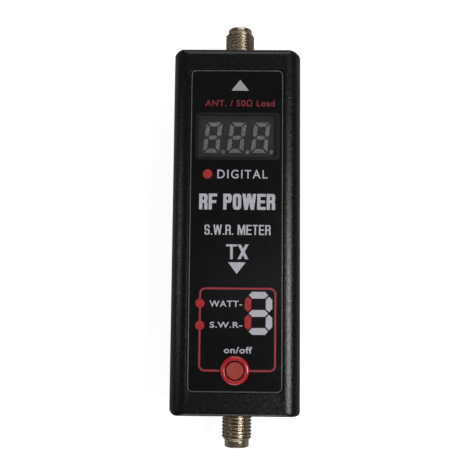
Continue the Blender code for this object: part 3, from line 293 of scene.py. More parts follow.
class Finish:
    """A Principled material with procedural detail, in object coordinates."""

    def __init__(self, name, colour, roughness, metallic=0.0, **sockets):
        self.material = bpy.data.materials.new(name)
        self.material.use_nodes = True
        self.nodes = self.material.node_tree.nodes
        self.links = self.material.node_tree.links
        self.shader = self.nodes["Principled BSDF"]
        self.colour = colour
        settle(self.shader, Base_Color=(*colour, 1.0), Roughness=roughness, Metallic=metallic)
        settle(self.shader, **sockets)
        self.place = self.nodes.new("ShaderNodeTexCoord").outputs["Object"]
        self.normal = None

    def stretched(self, scale):
        """The object's coordinates, scaled differently along each axis."""
        mapping = settle(self.nodes.new("ShaderNodeMapping"), Scale=scale)
        self.links.new(self.place, mapping.inputs["Vector"])
        return mapping.outputs["Vector"]

    def noise(self, size, detail=3.0, roughness=0.55, stretch=None):
        """Noise whose features are about this size in metres."""
        texture = self.nodes.new("ShaderNodeTexNoise")
        settle(texture, Scale=1.0 / size, Detail=detail, Roughness=roughness)
        self.links.new(self.stretched(stretch) if stretch else self.place, texture.inputs["Vector"])
        return texture.outputs["Fac"]

    def cells(self, size):
        """Round cells of about this size in metres."""
        texture = settle(self.nodes.new("ShaderNodeTexVoronoi"), Scale=1.0 / size)
        self.links.new(self.place, texture.inputs["Vector"])
        return texture.outputs["Distance"]

    def between(self, value, low, high, from_low=0.3, from_high=0.7):
        """The value, spread so that it runs from low to high."""
        spread = self.nodes.new("ShaderNodeMapRange")
        settle(spread, From_Min=from_low, From_Max=from_high, To_Min=low, To_Max=high)
        self.links.new(value, spread.inputs["Value"])
        return spread.outputs["Result"]

    def mottle(self, value, other, from_low=0.3, from_high=0.7):
        """The base colour shifts towards the other colour as the value rises."""
        mix = self.nodes.new("ShaderNodeMix")
        mix.data_type = "RGBA"
        colours = [socket for socket in mix.inputs if socket.type == "RGBA"]
        colours[0].default_value = (*self.colour, 1.0)
        colours[1].default_value = (*other, 1.0)
        self.links.new(self.between(value, 0.0, 1.0, from_low, from_high), mix.inputs["Factor"])
        made = [socket for socket in mix.outputs if socket.type == "RGBA"][0]
        self.links.new(made, self.shader.inputs["Base Color"])

    def rough(self, value, low, high):
        """The roughness runs from low to high with the value."""
        self.links.new(self.between(value, low, high), self.shader.inputs["Roughness"])

    def bump(self, value, height):
        """Relief of this height in metres. Several calls add up."""
        node = settle(self.nodes.new("ShaderNodeBump"), Distance=height, Strength=1.0)
        self.links.new(value, node.inputs["Height"])
        if self.normal is not None:
            self.links.new(self.normal, node.inputs["Normal"])
        self.normal = node.outputs["Normal"]
        self.links.new(self.normal, self.shader.inputs["Normal"])


def case_plastic():
    """Black moulding with a spark-eroded grain."""
    made = Finish("case_plastic", (0.0026, 0.0026, 0.0027), 0.26, Specular_IOR_Level=0.55)
    grain = made.noise(0.21 * MM, 1.5, 0.6)
    made.mottle(grain, (0.0046, 0.0046, 0.0048))
    made.rough(made.noise(0.7 * MM), 0.20, 0.30)
    made.bump(grain, 0.029 * MM)
    made.bump(made.cells(0.20 * MM), 0.014 * MM)
    return made.material


def overlay_film():
    """Satin black film with handling marks and a faint orange peel."""
    made = Finish("overlay_film", (0.0030, 0.0032, 0.0038), 0.26)
    made.mottle(made.noise(9 * MM, 2.0), (0.0045, 0.0048, 0.0058))
    made.rough(made.noise(2.2 * MM, 5.0, 0.7), 0.15, 0.23)
    made.bump(made.noise(0.5 * MM, 2.0), 0.0025 * MM)
    made.bump(made.noise(0.12 * MM, 2.0, stretch=(0.06, 1.0, 1.0)), 0.0006 * MM)
    return made.material


def ink(name, colour, worn):
    """Screen-printed ink: slightly uneven in colour and surface."""
    made = Finish(name, colour, 0.48)
    made.mottle(made.noise(0.35 * MM, 4.0, 0.7), worn, 0.45, 0.85)
    made.bump(made.noise(0.10 * MM, 3.0), 0.001 * MM)
    return made.material


def nickel():
    """Nickel plate on turned brass: warm, with turning marks round the axis and a light tarnish."""
    made = Finish("jack_nickel", (0.62, 0.54, 0.425), 0.26, 1.0)
    made.mottle(made.noise(2.4 * MM, 3.0, 0.5), (0.44, 0.37, 0.28), 0.42, 0.72)
    made.rough(made.noise(0.8 * MM, 3.0), 0.24, 0.30)
    made.bump(made.noise(0.10 * MM, 1.0, stretch=(0.10, 1.0, 0.10)), 0.0004 * MM)
    return made.material


def plated(name, colour, roughness):
    """Smooth plated or bare metal with a little unevenness."""
    grain = 0.4 * MM
    made = Finish(name, colour, roughness, 1.0)
    made.mottle(made.noise(grain * 4, 3.0), tuple(0.7 * c for c in colour), 0.45, 0.8)
    made.rough(made.noise(grain, 4.0), roughness * 0.8, roughness * 1.3)
    made.bump(made.noise(grain / 4, 3.0), 0.001 * MM)
    return made.material


def plastic(name, colour, roughness, relief=0.006 * MM, **sockets):
    """Moulded plastic, resin or coating with a fine grain of this relief."""
    grain = 0.25 * MM
    made = Finish(name, colour, roughness, **sockets)
    made.mottle(made.noise(grain * 6, 3.0), tuple(0.75 * c for c in colour), 0.4, 0.8)
    made.rough(made.noise(grain * 2, 4.0), roughness * 0.85, roughness * 1.2)
    made.bump(made.noise(grain, 3.0), relief)
    return made.material


def segment_resin():
    """Cloudy white resin whose filler shows as a fine fleck."""
    made = Finish("display_segment", srgb(208, 213, 209), 0.30)
    made.mottle(made.noise(0.20 * MM, 2.0), srgb(132, 136, 133), 0.40, 0.62)
    made.rough(made.noise(0.4 * MM, 3.0), 0.25, 0.36)
    made.bump(made.noise(0.15 * MM, 2.0), 0.004 * MM)
    return made.material


def board_laminate():
    """Green solder mask over glass cloth, whose weave shows faintly."""
    made = Finish("board_laminate", (0.012, 0.075, 0.030), 0.32)
    warp = made.noise(0.5 * MM, 1.0, stretch=(1.0, 0.05, 1.0))
    weft = made.noise(0.5 * MM, 1.0, stretch=(0.05, 1.0, 1.0))
    made.mottle(warp, (0.020, 0.120, 0.050))
    made.bump(warp, 0.006 * MM)
    made.bump(weft, 0.006 * MM)
    return made.material


CASE = case_plastic()
FILM = overlay_film()
SMOKED_FILM = plastic("overlay_smoked", srgb(38, 39, 40), 0.22, relief=0.0006 * MM)
# The pale grey of the band along the film's edge is a painted highlight where the edge catches the light.
EDGE_HIGHLIGHT = plastic("painted_edge_highlight", srgb(104, 104, 104), 0.30)
WHITE_INK = ink("ink_grey_white", srgb(205, 205, 216), srgb(178, 178, 190))
ARROW_INK = ink("ink_silver", srgb(182, 182, 184), srgb(160, 160, 162))
RED_INK = ink("ink_red", srgb(142, 38, 50), srgb(118, 32, 42))
LINE_INK = ink("ink_red_line", srgb(168, 52, 66), srgb(140, 44, 56))
BRIGHT_RED_INK = ink("ink_bright_red", srgb(190, 36, 44), srgb(166, 30, 38))
NICKEL = nickel()
GOLD = plated("contact_gold", (0.86, 0.62, 0.25), 0.22)
PTFE = plastic("jack_dielectric", (0.78, 0.78, 0.75), 0.5)
STEEL = plated("screw_steel", (0.42, 0.42, 0.43), 0.30)
TIN = plated("tin_plate", (0.55, 0.55, 0.54), 0.26)
BEZEL_RED = plastic("bezel_red", (0.60, 0.026, 0.040), 0.14, relief=0.0006 * MM, Coat_Weight=1.0)
CAP_RED = plastic("cap_red", (0.47, 0.060, 0.042), 0.42, relief=0.004 * MM)
DISPLAY_FACE = plastic("display_face", srgb(74, 77, 77), 0.40, relief=0.004 * MM)
SEGMENT = segment_resin()
CLEAR = plastic(
    "window_clear", (0.03, 0.03, 0.032), 0.06, relief=0.0003 * MM, Alpha=0.22, Specular_IOR_Level=1.0,
)
SILVER_FILM = plastic("rear_label_film", (0.42, 0.42, 0.43), 0.33, relief=0.002 * MM, Metallic=0.4)
CHIP = plastic("chip_black", (0.018, 0.018, 0.019), 0.5)


# ---- case shells ----

def edge_inset(depth, radius):
    """How far an edge of this radius has drawn in at a depth under the face that it ends in."""
    if depth >= radius:
        return 0.0
    return radius - math.sqrt(max(0.0, radius ** 2 - (radius - depth) ** 2))


def case_ring(z, side, antenna=None, transmitter=None):
    """The case's outline at a height, drawn in by this much at the sides and at the two ends."""
    ends = (side if antenna is None else antenna, side if transmitter is None else transmitter)
    least, corners = 0.5 * MM, []
    for (sx, sy), (across, along) in zip(QUARTERS, CORNER_RADII):
        end = ends[0] if sy > 0 else ends[1]
        across, along = max(across - side, least), max(along - end, least)
        corners.append((sx * (HALF_WIDTH - side - across), sy * (HALF_LENGTH - end - along), across, along))
    return at_height(rounded(corners, 12), z)


def edge_levels(radii):
    """Depths under a face, deepest first, that follow several edge radii at once."""
    steps = 12
    shares = [1 - math.sin(math.pi / 2 * i / steps) for i in range(steps + 1)]
    return sorted({round(radius * share, 7) for radius in radii for share in shares}, reverse=True)


def recess_rings(face_z, floor_z, half_x, half_y, radius):
    """From a flat face over a rounded rim and down the wall of a recess to its floor."""
    rim, toward = 0.06 * MM, 1 if floor_z < face_z else -1
    rings = []
    for inset, drop in arc_steps(rim, 4):
        points = outline(half_x + inset, half_y + inset, radius + inset, steps=12)
        rings.append(at_height(points, face_z - toward * drop))
    rings.append(at_height(outline(half_x, half_y, radius, steps=12), floor_z))
    return rings


def seam_rings(z, toward):
    """The rounded outer edge where the shells meet. toward is +1 if the shell lies above the seam."""
    edge = 0.14 * MM
    steps = [(edge - inset, drop) for inset, drop in arc_steps(edge, 3)]
    return [case_ring(z + toward * drop, edge - reach) for reach, drop in steps]


def jack_cutter():
    """The hole for both jacks, with a small chamfer at the outside."""
    radius, chamfer, reach = 3.28 * MM, 0.12 * MM, HALF_LENGTH + PAST
    half = [
        (0, reach), (radius + chamfer + PAST, reach), (radius + chamfer, HALF_LENGTH),
        (radius, HALF_LENGTH - chamfer),
    ]
    profile = half + [(r, -d) for r, d in reversed(half)]
    return turned(profile, (JACK_X, 0, JACK_Z), axis="Y", sides=72)


def usb_cutter():
    """The charging socket's opening in the side wall, with a chamfer at the outside."""
    low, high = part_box("usb_shell")
    fit, chamfer, wall = 0.25 * MM, 0.2 * MM, -HALF_WIDTH
    centre = middle_of(low, high)[1:]
    half = [size + fit for size in half_of(low, high)[1:]]
    narrow = outline(*half, 0.95 * MM, centre=centre)
    wide = outline(half[0] + chamfer, half[1] + chamfer, 1.15 * MM, centre=centre)
    levels = ((wall - PAST, wide), (wall, wide), (wall + chamfer, narrow), (wall + 3 * MM, narrow))
    return loft([upright_at(points, x) for x, points in levels])


def window_cutter(fit, low, high):
    """The hole for the window's lens, wider by fit all round."""
    points = outline(WINDOW_HALF[0] + fit, WINDOW_HALF[1] + fit, 0.8 * MM, centre=WINDOW_CENTRE)
    return slab(points, low, high)


def button_cutter(radius, low, high):
    return turned(hole_profile(radius, low, high), (0, BUTTON_Y, 0))


def make_front_shell():
    inner_z, inner_edge = DEPTH - FRONT_WALL, 1.4 * MM
    rings = [case_ring(inner_z, WALL + inner_edge, WALL, WALL), case_ring(inner_z - inner_edge, WALL)]
    rings.append(case_ring(PARTING_Z + SEAM, WALL))
    rings += seam_rings(PARTING_Z + SEAM, 1)
    radii = (SHOULDER_RADIUS, ANTENNA_EDGE_RADIUS, TRANSMITTER_EDGE_RADIUS)
    for depth in edge_levels(radii):
        rings.append(case_ring(DEPTH - depth, *(edge_inset(depth, radius) for radius in radii)))
    rings += recess_rings(
        DEPTH, RECESS_FLOOR_Z, OVERLAY_HALF_X + RECESS_MARGIN, OVERLAY_HALF_Y + RECESS_MARGIN,
        OVERLAY_RADIUS + RECESS_MARGIN,
    )
    shell = new_object("case_front", loft(rings), CASE)
    low, high = inner_z - PAST, DEPTH + PAST
    holes = (window_cutter(0.1 * MM, low, high), button_cutter(2.53 * MM, low, high))
    cut(shell, jack_cutter(), usb_cutter(), *holes)
    piece(finish_edges(shell), "case_plastic", "front_shell")


def screw_places():
    """Each case screw's number, x, y and the height of its head's outer face."""
    for number in range(1, 5):
        low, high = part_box(f"case_screw_{number}")
        x, y, _ = middle_of(low, high)
        yield number, x, y, low[2]


def make_rear_shell():
    """The rear shell with its lip, label recess and screw wells, and a tube inside round each well."""
    label_x, label_y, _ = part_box("rear_label")[1]
    lip = WALL - 0.65 * MM
    rings = [case_ring(WALL, WALL), case_ring(REAR_TOP, WALL)]
    rings += [case_ring(REAR_TOP, lip), case_ring(PARTING_Z - SEAM, lip)]
    rings += seam_rings(PARTING_Z - SEAM, -1)
    for depth in edge_levels((BACK_EDGE_RADIUS,)):
        rings.append(case_ring(depth, edge_inset(depth, BACK_EDGE_RADIUS)))
    label_fit, recess_depth = 0.25 * MM, 0.35 * MM
    rings += recess_rings(0, recess_depth, label_x + label_fit, label_y + label_fit, 1.25 * MM)
    shell = new_object("case_rear", loft(rings), CASE)
    wide, narrow, flare, seat, end = 2.0 * MM, 1.15 * MM, 0.25 * MM, 5.0 * MM, 8 * MM
    well = [(0, -PAST), (wide + flare, -PAST), (wide + flare, 0), (wide, flare), (wide, seat)]
    well += [(narrow, seat), (narrow, end), (0, end)]
    wells = [turned(well, (x, y, 0), sides=64) for _, x, y, _ in screw_places()]
    piece(finish_edges(cut(shell, jack_cutter(), *wells)), "case_plastic", "rear_shell")
    outer, inner, top, bottom = 2.75 * MM, 2.02 * MM, 5.02 * MM, WALL + 0.02 * MM
    tube = [(narrow, top), (outer, top), (outer, bottom), (inner, bottom), (inner, seat), (narrow, seat)]
    for number, x, y, _ in screw_places():
        boss = new_object(f"case_rear_boss_{number}", turned(tube, (x, y, 0), sides=64), CASE)
        piece(finish_edges(boss), "case_plastic")


# ---- overlay and its printing ----

def make_overlay():
    """The film, with a thin pale band along its edge, which is a painted highlight where the edge catches
    the light.
    """
    half_x, half_y = OVERLAY_HALF_X, OVERLAY_HALF_Y
    mesh = pillow(half_x, half_y, OVERLAY_RADIUS, overlay_low[2], OVERLAY_TOP, 0.05 * MM)
    film = new_object("overlay_film", mesh, FILM)
    low, high = overlay_low[2] - PAST, DEPTH + PAST
    cut(film, window_cutter(0.08 * MM, low, high), button_cutter(BEZEL_HOLE_RADIUS, low, high))
    piece(finish_edges(film), "overlay_film", "front_overlay")
    # A pale band along the film's edge: a painted highlight of the edge catching the light.
    inset, width = 0.02 * MM, 0.18 * MM
    edge = band(half_x - inset, half_y - inset, OVERLAY_RADIUS, width)
    piece(new_object("overlay_edge_highlight", edge, EDGE_HIGHLIGHT), "overlay_film")


def band(half_x, half_y, radius, width, centre=(0, 0)):
    """A thin raised line round a rounded rectangle, with soft shoulders."""
    rings = []
    for inset, level in ((0, 0), (0.12, 0.85), (0.3, 1), (0.7, 1), (0.88, 0.85), (1, 0)):
        step = inset * width
        points = outline(half_x - step, half_y - step, max(radius - step, 0.05 * MM), centre=centre)
        rings.append(at_height(points, OVERLAY_TOP + level * INK))
    return loft(rings, ends=False)


def printed(name, points, material, height=INK):
    """A flat printed shape from an outline."""
    obj = new_object(name, slab(points, OVERLAY_TOP, OVERLAY_TOP + height), material)
    return piece(obj, "overlay_film")


def raised_ink(name, curve, box, material):
    """Turns a filled curve into thin ink that exactly fills box, ((left, bottom), (right, top))."""
    curve.fill_mode = "BOTH"
    curve.extrude = 0.05
    drawn = linked(name, curve)
    shape = shape_of(evaluated_mesh(drawn))
    bpy.data.objects.remove(drawn)
    bmesh.ops.remove_doubles(shape, verts=shape.verts, dist=0.0004)
    points = np.array([vertex.co for vertex in shape.verts])
    low, high = points.min(axis=0), points.max(axis=0)
    (left, bottom), (right, top) = box
    for vertex in shape.verts:
        share = [(vertex.co[i] - low[i]) / (high[i] - low[i]) for i in range(3)]
        x, y = left + share[0] * (right - left), bottom + share[1] * (top - bottom)
        vertex.co = (x, y, OVERLAY_TOP + share[2] * INK)
    return piece(new_object(name, mesh_of(shape), material), "overlay_film")


def lettering(name, words, box, material, weight, spacing):
    """Words in the plain built-in face, with their strokes widened by weight."""
    curve = bpy.data.curves.new(name, "FONT")
    curve.body = words
    curve.offset = weight
    curve.space_character = spacing
    curve.resolution_u = 4
    return raised_ink(name, curve, box, material)


def eased(corners, steps=5):
    """A polygon from (x, y) or (x, y, radius) corners, with the radius' corners rounded."""
    points = []
    for i, corner in enumerate(corners):
        here, radius = Vector(corner[:2]), corner[2] if len(corner) > 2 else 0
        if not radius:
            points.append(tuple(here))
            continue
        before, after = Vector(corners[i - 1][:2]), Vector(corners[(i + 1) % len(corners)][:2])
        start = here + (before - here).normalized() * radius
        end = here + (after - here).normalized() * radius
        for step in range(steps + 1):
            t = step / steps
            points.append(tuple(start * (1 - t) ** 2 + here * 2 * t * (1 - t) + end * t ** 2))
    return points


def block_letter(letter, stem, bar, width):
    """Outline, then holes, of a condensed capital of height 1. Any letter not named here is a W."""
    s, t, w, middle = stem, bar, width, 0.5
    low, high, belly = middle - t / 2, middle + t / 2, 0.42
    if letter == ".":
        return [[(0, 0), (s, 0), (s, t), (0, t)]]
    if letter in "EF":
        foot, arm = ([(w, 0), (w, t), (s, t)], w * 0.93) if letter == "E" else ([(s, 0)], w * 0.9)
        arms = [(s, low), (arm, low), (arm, high), (s, high), (s, 1 - t), (w, 1 - t), (w, 1), (0, 1)]
        return [[(0, 0), *foot, *arms]]
    if letter == "T":
        a, b = (w - s) / 2, (w + s) / 2
        return [[(a, 0), (b, 0), (b, 1 - t), (w, 1 - t), (w, 1), (0, 1), (0, 1 - t), (a, 1 - t)]]
    if letter == "O":
        hole = [(s, t, 0.09), (w - s, t, 0.09), (w - s, 1 - t, 0.09), (s, 1 - t, 0.09)]
        return [eased([(0, 0, 0.24), (w, 0, 0.24), (w, 1, 0.24), (0, 1, 0.24)]), eased(hole)]
    bowl = [(s, belly + t), (w - s, belly + t, 0.07), (w - s, 1 - t, 0.07), (s, 1 - t)]
    if letter == "P":
        outer = [(0, 0), (s, 0), (s, belly), (w, belly, 0.2), (w, 1, 0.2), (0, 1)]
        return [eased(outer), eased(bowl)]
    if letter == "R":
        outer = [
            (0, 0), (s, 0), (s, belly), (w - s, belly, 0.05), (w - s, 0), (w, 0), (w, belly, 0.05),
            (w - 0.06, belly + t / 2, 0.03), (w, belly + t, 0.05), (w, 1, 0.2), (0, 1),
        ]
        return [eased(outer), eased(bowl)]
    if letter == "S":
        return [eased([
            (0, 0.31), (0, 0, 0.22), (w, 0, 0.22), (w, high, 0.2), (s, high, 0.08), (s, 1 - t, 0.08),
            (w - s, 1 - t, 0.08), (w - s, 0.69), (w, 0.69), (w, 1, 0.22), (0, 1, 0.22), (0, low, 0.2),
            (w - s, low, 0.08), (w - s, t, 0.08), (s, t, 0.08), (s, 0.31),
        ])]
    if letter == "X":
        wide = s * 1.3
        c, side, notch = w / 2, (w - wide) / 2, (w / 2 - wide) / (w - wide)
        return [[
            (0, 0), (wide, 0), (c, notch), (w - wide, 0), (w, 0), (w - side, 0.5), (w, 1), (w - wide, 1),
            (c, 1 - notch), (wide, 1), (0, 1), (side, 0.5),
        ]]
    if letter == "M":
        c, e = w / 2, s * 0.42
        return [[
            (0, 0), (s, 0), (s, 0.66), (c - e, 0), (c + e, 0), (w - s, 0.66), (w - s, 0), (w, 0), (w, 1),
            (w - s * 1.35, 1), (c, 0.42), (s * 1.35, 1), (0, 1),
        ]]
    c, left = w / 2, w * 0.27
    right = w - left
    inner, outer = (c - left - s / 2) / (c - left), s / (c - s / 2)
    dip = left - s / 2 + (c - left) * outer
    return [[
        (left - s / 2, 0), (left + s / 2, 0), (c, inner), (right - s / 2, 0), (right + s / 2, 0), (w, 1),
        (w - s, 1), (w - dip, outer), (c + s / 2, 1), (c - s / 2, 1), (dip, outer), (s, 1), (0, 1),
    ]]


def capitals(name, words, box, material, stem, bar, width, gap):
    """Words in condensed block capitals. stem, bar, width and gap are shares of the height."""
    wide = {"W": 1.62, "M": 1.45, ".": stem / width, " ": 0.55}
    curve = bpy.data.curves.new(name, "CURVE")
    curve.dimensions = "2D"
    start = 0.0
    for letter in words:
        letter_width = width * wide.get(letter, 1.0)
        for outline_points in block_letter(letter, stem, bar, letter_width) if letter != " " else []:
            spline = curve.splines.new("POLY")
            spline.points.add(len(outline_points) - 1)
            for point, (x, y) in zip(spline.points, outline_points):
                point.co = (start + x, y, 0, 1)
            spline.use_cyclic_u = True
        start += letter_width + gap * (0.4 if letter == " " else 1.0)
    return raised_ink(name, curve, box, material)


def arrow(name, base_y, apex_y, middle, half_base, material):
    """A printed triangle that points from its base to its apex, up or down."""
    side = 1 if apex_y > base_y else -1
    points = [(middle - side * half_base, base_y), (middle + side * half_base, base_y), (middle, apex_y)]
    return printed(name, points, material)


def circle(x, y, radius, sides):
    angles = np.linspace(0, math.tau, sides, endpoint=False)
    return [(x + radius * math.cos(a), y + radius * math.sin(a)) for a in angles]


def disc(name, x, y, radius, material):
    return printed(name, circle(x, y, radius, 40), material, 1.6 * INK)


def hexagon(centre, length, width, point, upright):
    """A segment of the printed digit: a bar with a blunt point at each end."""
    a, b = length / 2, width / 2
    shape = [(-a, 0), (-a + point, -b), (a - point, -b), (a, 0), (a - point, b), (-a + point, b)]
    if upright:
        shape = [(-y, x) for x, y in shape]
    return [(centre[0] + x, centre[1] + y) for x, y in shape]


def make_printing():
    """The legends, top to bottom. Each box is left, bottom, right and top in millimetres."""
    arrow("print_arrow_up", 28.46 * MM, 30.74 * MM, 0.63 * MM, 1.8 * MM, ARROW_INK)
    lettering("print_antenna", "ANT. / 50Ω Load", span(-6.58, 25.13, 7.75, 26.57), RED_INK, 0.022, 1.12)
    disc("print_mark", -5.9 * MM, 11.05 * MM, 0.95 * MM, BRIGHT_RED_INK)
    lettering("print_kind", "DIGITAL", span(-3.9, 10.15, 6.3, 11.95), WHITE_INK, 0.006, 1.2)
    capitals("print_quantity", "RF POWER", span(-7.54, 3.75, 7.9, 7.02), WHITE_INK, 0.245, 0.18, 0.62, 0.075)
    capitals("print_title", "S.W.R. METER", span(-6.38, -1.38, 6.99, 0.67), WHITE_INK, 0.15, 0.13, 0.52, 0.1)
    capitals("print_transmitter", "TX", span(-1.98, -6.29, 2.58, -3.3), WHITE_INK, 0.165, 0.14, 0.72, 0.03)
    arrow("print_arrow_down", -6.93 * MM, -9.25 * MM, 0.23 * MM, 1.78 * MM, WHITE_INK)
    make_control_frame()
    lettering("print_watt", "WATT-", span(-5.2, -15.87, 1.37, -14.61), WHITE_INK, 0.02, 1.12)
    lettering("print_swr", "S.W.R-", span(-5.06, -20.04, 1.41, -18.85), WHITE_INK, 0.02, 1.1)
    lettering("print_switch", "on/off", span(-2.23, -25.08, 3.44, -23.77), WHITE_INK, 0.02, 1.08)
    make_pictogram()


def span(left, bottom, right, top):
    return (left * MM, bottom * MM), (right * MM, top * MM)


def make_control_frame():
    """The red line round the controls, with its two dots. It runs under the button's ring."""
    half_x, half_y, centre = 7.75 * MM, 8.35 * MM, (0.45 * MM, -20.35 * MM)
    line = band(half_x, half_y, 1.3 * MM, 0.40 * MM, centre)
    frame_line = new_object("print_frame", line, LINE_INK)
    cut(frame_line, button_cutter(BEZEL_HOLE_RADIUS, OVERLAY_TOP - PAST, OVERLAY_TOP + PAST))
    piece(frame_line, "overlay_film")
    for number, y in enumerate((-15.2 * MM, -19.58 * MM), 1):
        disc(f"print_dot_{number}", centre[0] - half_x + 0.22 * MM, y, 0.92 * MM, BRIGHT_RED_INK)


def make_pictogram():
    """The printed digit that shows which reading is on: red for the chosen one."""
    left, right, top, middle, bottom = (v * MM for v in (2.545, 6.765, -13.49, -17.12, -20.70))
    across, point, width = (left + right) / 2, 0.64 * MM, 1.35 * MM
    for name, y in (("top", top), ("middle", middle), ("bottom", bottom)):
        printed(f"print_segment_{name}", hexagon((across, y), 3.86 * MM, width, point, False), WHITE_INK)
    for side, x, material in (("left", left, BRIGHT_RED_INK), ("right", right, WHITE_INK)):
        for name, y in (("upper", (top + middle) / 2), ("lower", (middle + bottom) / 2)):
            points = hexagon((x, y), 3.08 * MM, width - 0.05 * MM, point, True)
            printed(f"print_segment_{name}_{side}", points, material)


# ---- display ----

DIGIT_PITCH = 4.93 * MM
DIGIT_HALF_WIDTH = 1.69 * MM
DIGIT_HALF_HEIGHT = 3.2 * MM
DIGIT_STROKE = 0.88 * MM
DIGIT_GAP = 0.13 * MM
DIGIT_SLANT = math.tan(math.radians(6.6))
DIGIT_CENTRE = (-0.04 * MM, 18.74 * MM)
POINT_X, POINT_Y, POINT_RADIUS = 2.2 * MM, 3.0 * MM, 0.44 * MM


def digit_segments(shrink):
    """The outlines of one digit's seven segments about its centre, before it is slanted."""
    w, h = DIGIT_HALF_WIDTH - shrink, DIGIT_HALF_HEIGHT - shrink
    t, g = DIGIT_STROKE - 2 * shrink, DIGIT_GAP + shrink * 1.4
    top = [(-w + 2 * g, h), (-w + t + g, h - t), (w - t - g, h - t), (w - 2 * g, h)]
    side = [(w, h - 2 * g), (w - t, h - t - g), (w - t, t / 2 + g), (w - t / 2, g), (w, t / 2 + g)]
    middle = [
        (-w + t / 2 + 2 * g, 0), (-w + t + 2 * g, -t / 2), (w - t - 2 * g, -t / 2),
        (w - t / 2 - 2 * g, 0), (w - t - 2 * g, t / 2), (-w + t + 2 * g, t / 2),
    ]
    mirrored = [[(sx * x, sy * y) for x, y in side] for sx in (1, -1) for sy in (1, -1)]
    return [top, [(x, -y) for x, y in top], middle, *mirrored]


def make_display():
    """The grey block, and the digits' segments, which stand just proud of it."""
    low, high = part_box("display_housing")
    face_z, centre, half = high[2], middle_of(low, high)[:2], half_of(low, high)[:2]
    mesh = pillow(*half, 0.3 * MM, low[2], face_z, 0.12 * MM, centre=centre)
    block = new_object("display_block", mesh, DISPLAY_FACE)
    piece(finish_edges(block), "display_case", "display_housing")
    segments = []
    for digit in (-1, 0, 1):
        cx = DIGIT_CENTRE[0] + digit * DIGIT_PITCH
        for shape in digit_segments(0.015 * MM):
            segments.append([(cx + x + y * DIGIT_SLANT, DIGIT_CENTRE[1] + y) for x, y in shape])
        segments.append(circle(cx + POINT_X, DIGIT_CENTRE[1] - POINT_Y, POINT_RADIUS, 28))
    sunk, thickness = 0.2 * MM, 0.24 * MM
    shape = bmesh.new()
    for points in segments:
        ring = [shape.verts.new((x, y, face_z - sunk)) for x, y in points]
        face = shape.faces.new(ring)
        raised = bmesh.ops.extrude_face_region(shape, geom=[face])["geom"]
        verts = [item for item in raised if isinstance(item, bmesh.types.BMVert)]
        bmesh.ops.translate(shape, vec=(0, 0, thickness), verts=verts)
    lit = new_object("display_segments", mesh_of(shape), SEGMENT)
    piece(finish_edges(lit, 0.05 * MM), "segment_resin", "display_resin")


def make_window_border():
    """The strip of clear film round the lens, through which the dark grey mount shows."""
    corners, overlap, top = span(-8.40, 14.0, 8.85, 23.85), 0.18 * MM, OVERLAY_TOP + INK
    outer = outline(*half_of(*corners), 0.9 * MM, centre=middle_of(*corners))
    inner = outline(WINDOW_HALF[0] - overlap, WINDOW_HALF[1] - overlap, 0.5 * MM, centre=WINDOW_CENTRE)
    levels = ((outer, OVERLAY_TOP), (outer, top), (inner, top), (inner, OVERLAY_TOP))
    rings = [at_height(points, z) for points, z in levels]
    piece(new_object("window_border", loft(rings, ends=False), SMOKED_FILM), "overlay_film")


def make_window():
    low, high = window_low[2], window_high[2]
    mesh = pillow(*WINDOW_HALF, 0.7 * MM, low, high, 0.10 * MM, WINDOW_CENTRE)
    piece(finish_edges(new_object("window_lens", mesh, CLEAR)), "window_clear", "display_window")


# ---- push button ----

def arc(centre, radius, start, end, steps):
    """Points round part of a circle in a profile, angles in degrees."""
    return [
        (centre[0] + radius * math.cos(math.radians(a)), centre[1] + radius * math.sin(math.radians(a)))
        for a in np.linspace(start, end, steps)
    ]


def make_button():
    """The ring fixed in the front, and the cap with its stem, skirt and slightly dished face."""
    at = (0, BUTTON_Y, 0)
    top, flange = bezel_high[2], OVERLAY_TOP + 0.05 * MM
    bore, sleeve, inner_edge, outer_edge = 1.97 * MM, 2.45 * MM, 0.22 * MM, 0.42 * MM
    ring = [(sleeve, bezel_low[2]), (sleeve, flange), (BEZEL_RADIUS, flange)]
    ring += arc((BEZEL_RADIUS - outer_edge, top - outer_edge), outer_edge, 0, 90, 10)
    ring += arc((bore + inner_edge, top - inner_edge), inner_edge, 90, 180, 8)
    ring += [(bore, bezel_low[2])]
    bezel = new_object("button_ring", turned(ring, at, sides=128), BEZEL_RED)
    piece(bezel, "bezel_red", "button_bezel")
    stem, radius, skirt, edge = 1.5 * MM, 1.73 * MM, 2.3 * MM, 0.16 * MM
    crown, shoulder = cap_high[2], 18.5 * MM
    hem = shoulder - 0.5 * MM
    cap = [(0, cap_low[2]), (stem, cap_low[2]), (stem, hem), (skirt, hem), (skirt, shoulder)]
    cap += [(radius, shoulder)]
    cap += arc((radius - edge, crown - edge), edge, 0, 90, 6)
    cap += [(1.25 * MM, crown - 0.015 * MM), (0.7 * MM, crown - 0.045 * MM), (0, crown - 0.055 * MM)]
    knob = new_object("button_cap_face", turned(cap, at, sides=128), CAP_RED)
    piece(knob, "cap_red", "button_cap", body="button")


def make_snap_dome():
    """The switch's sprung steel dome, made at rest. The real dome flattens as the button goes down; nothing
    here moves it.
    """
    low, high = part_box("switch_dome")
    x, y, _ = middle_of(low, high)
    radius, sheet = half_of(low, high)[0], 0.12 * MM
    rise = high[2] - low[2] - sheet
    shares = np.linspace(0, 1, 16)
    profile = [(radius * s, low[2] + sheet + rise * (1 - s * s)) for s in shares]
    profile += [(radius * s, low[2] + rise * (1 - s * s)) for s in reversed(shares)]
    dome = new_object("snap_dome", turned(profile, (x, y, 0), sides=72), STEEL)
    piece(dome, "screw_steel", "switch_dome")
    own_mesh(dome)


# ---- SMA jacks ----

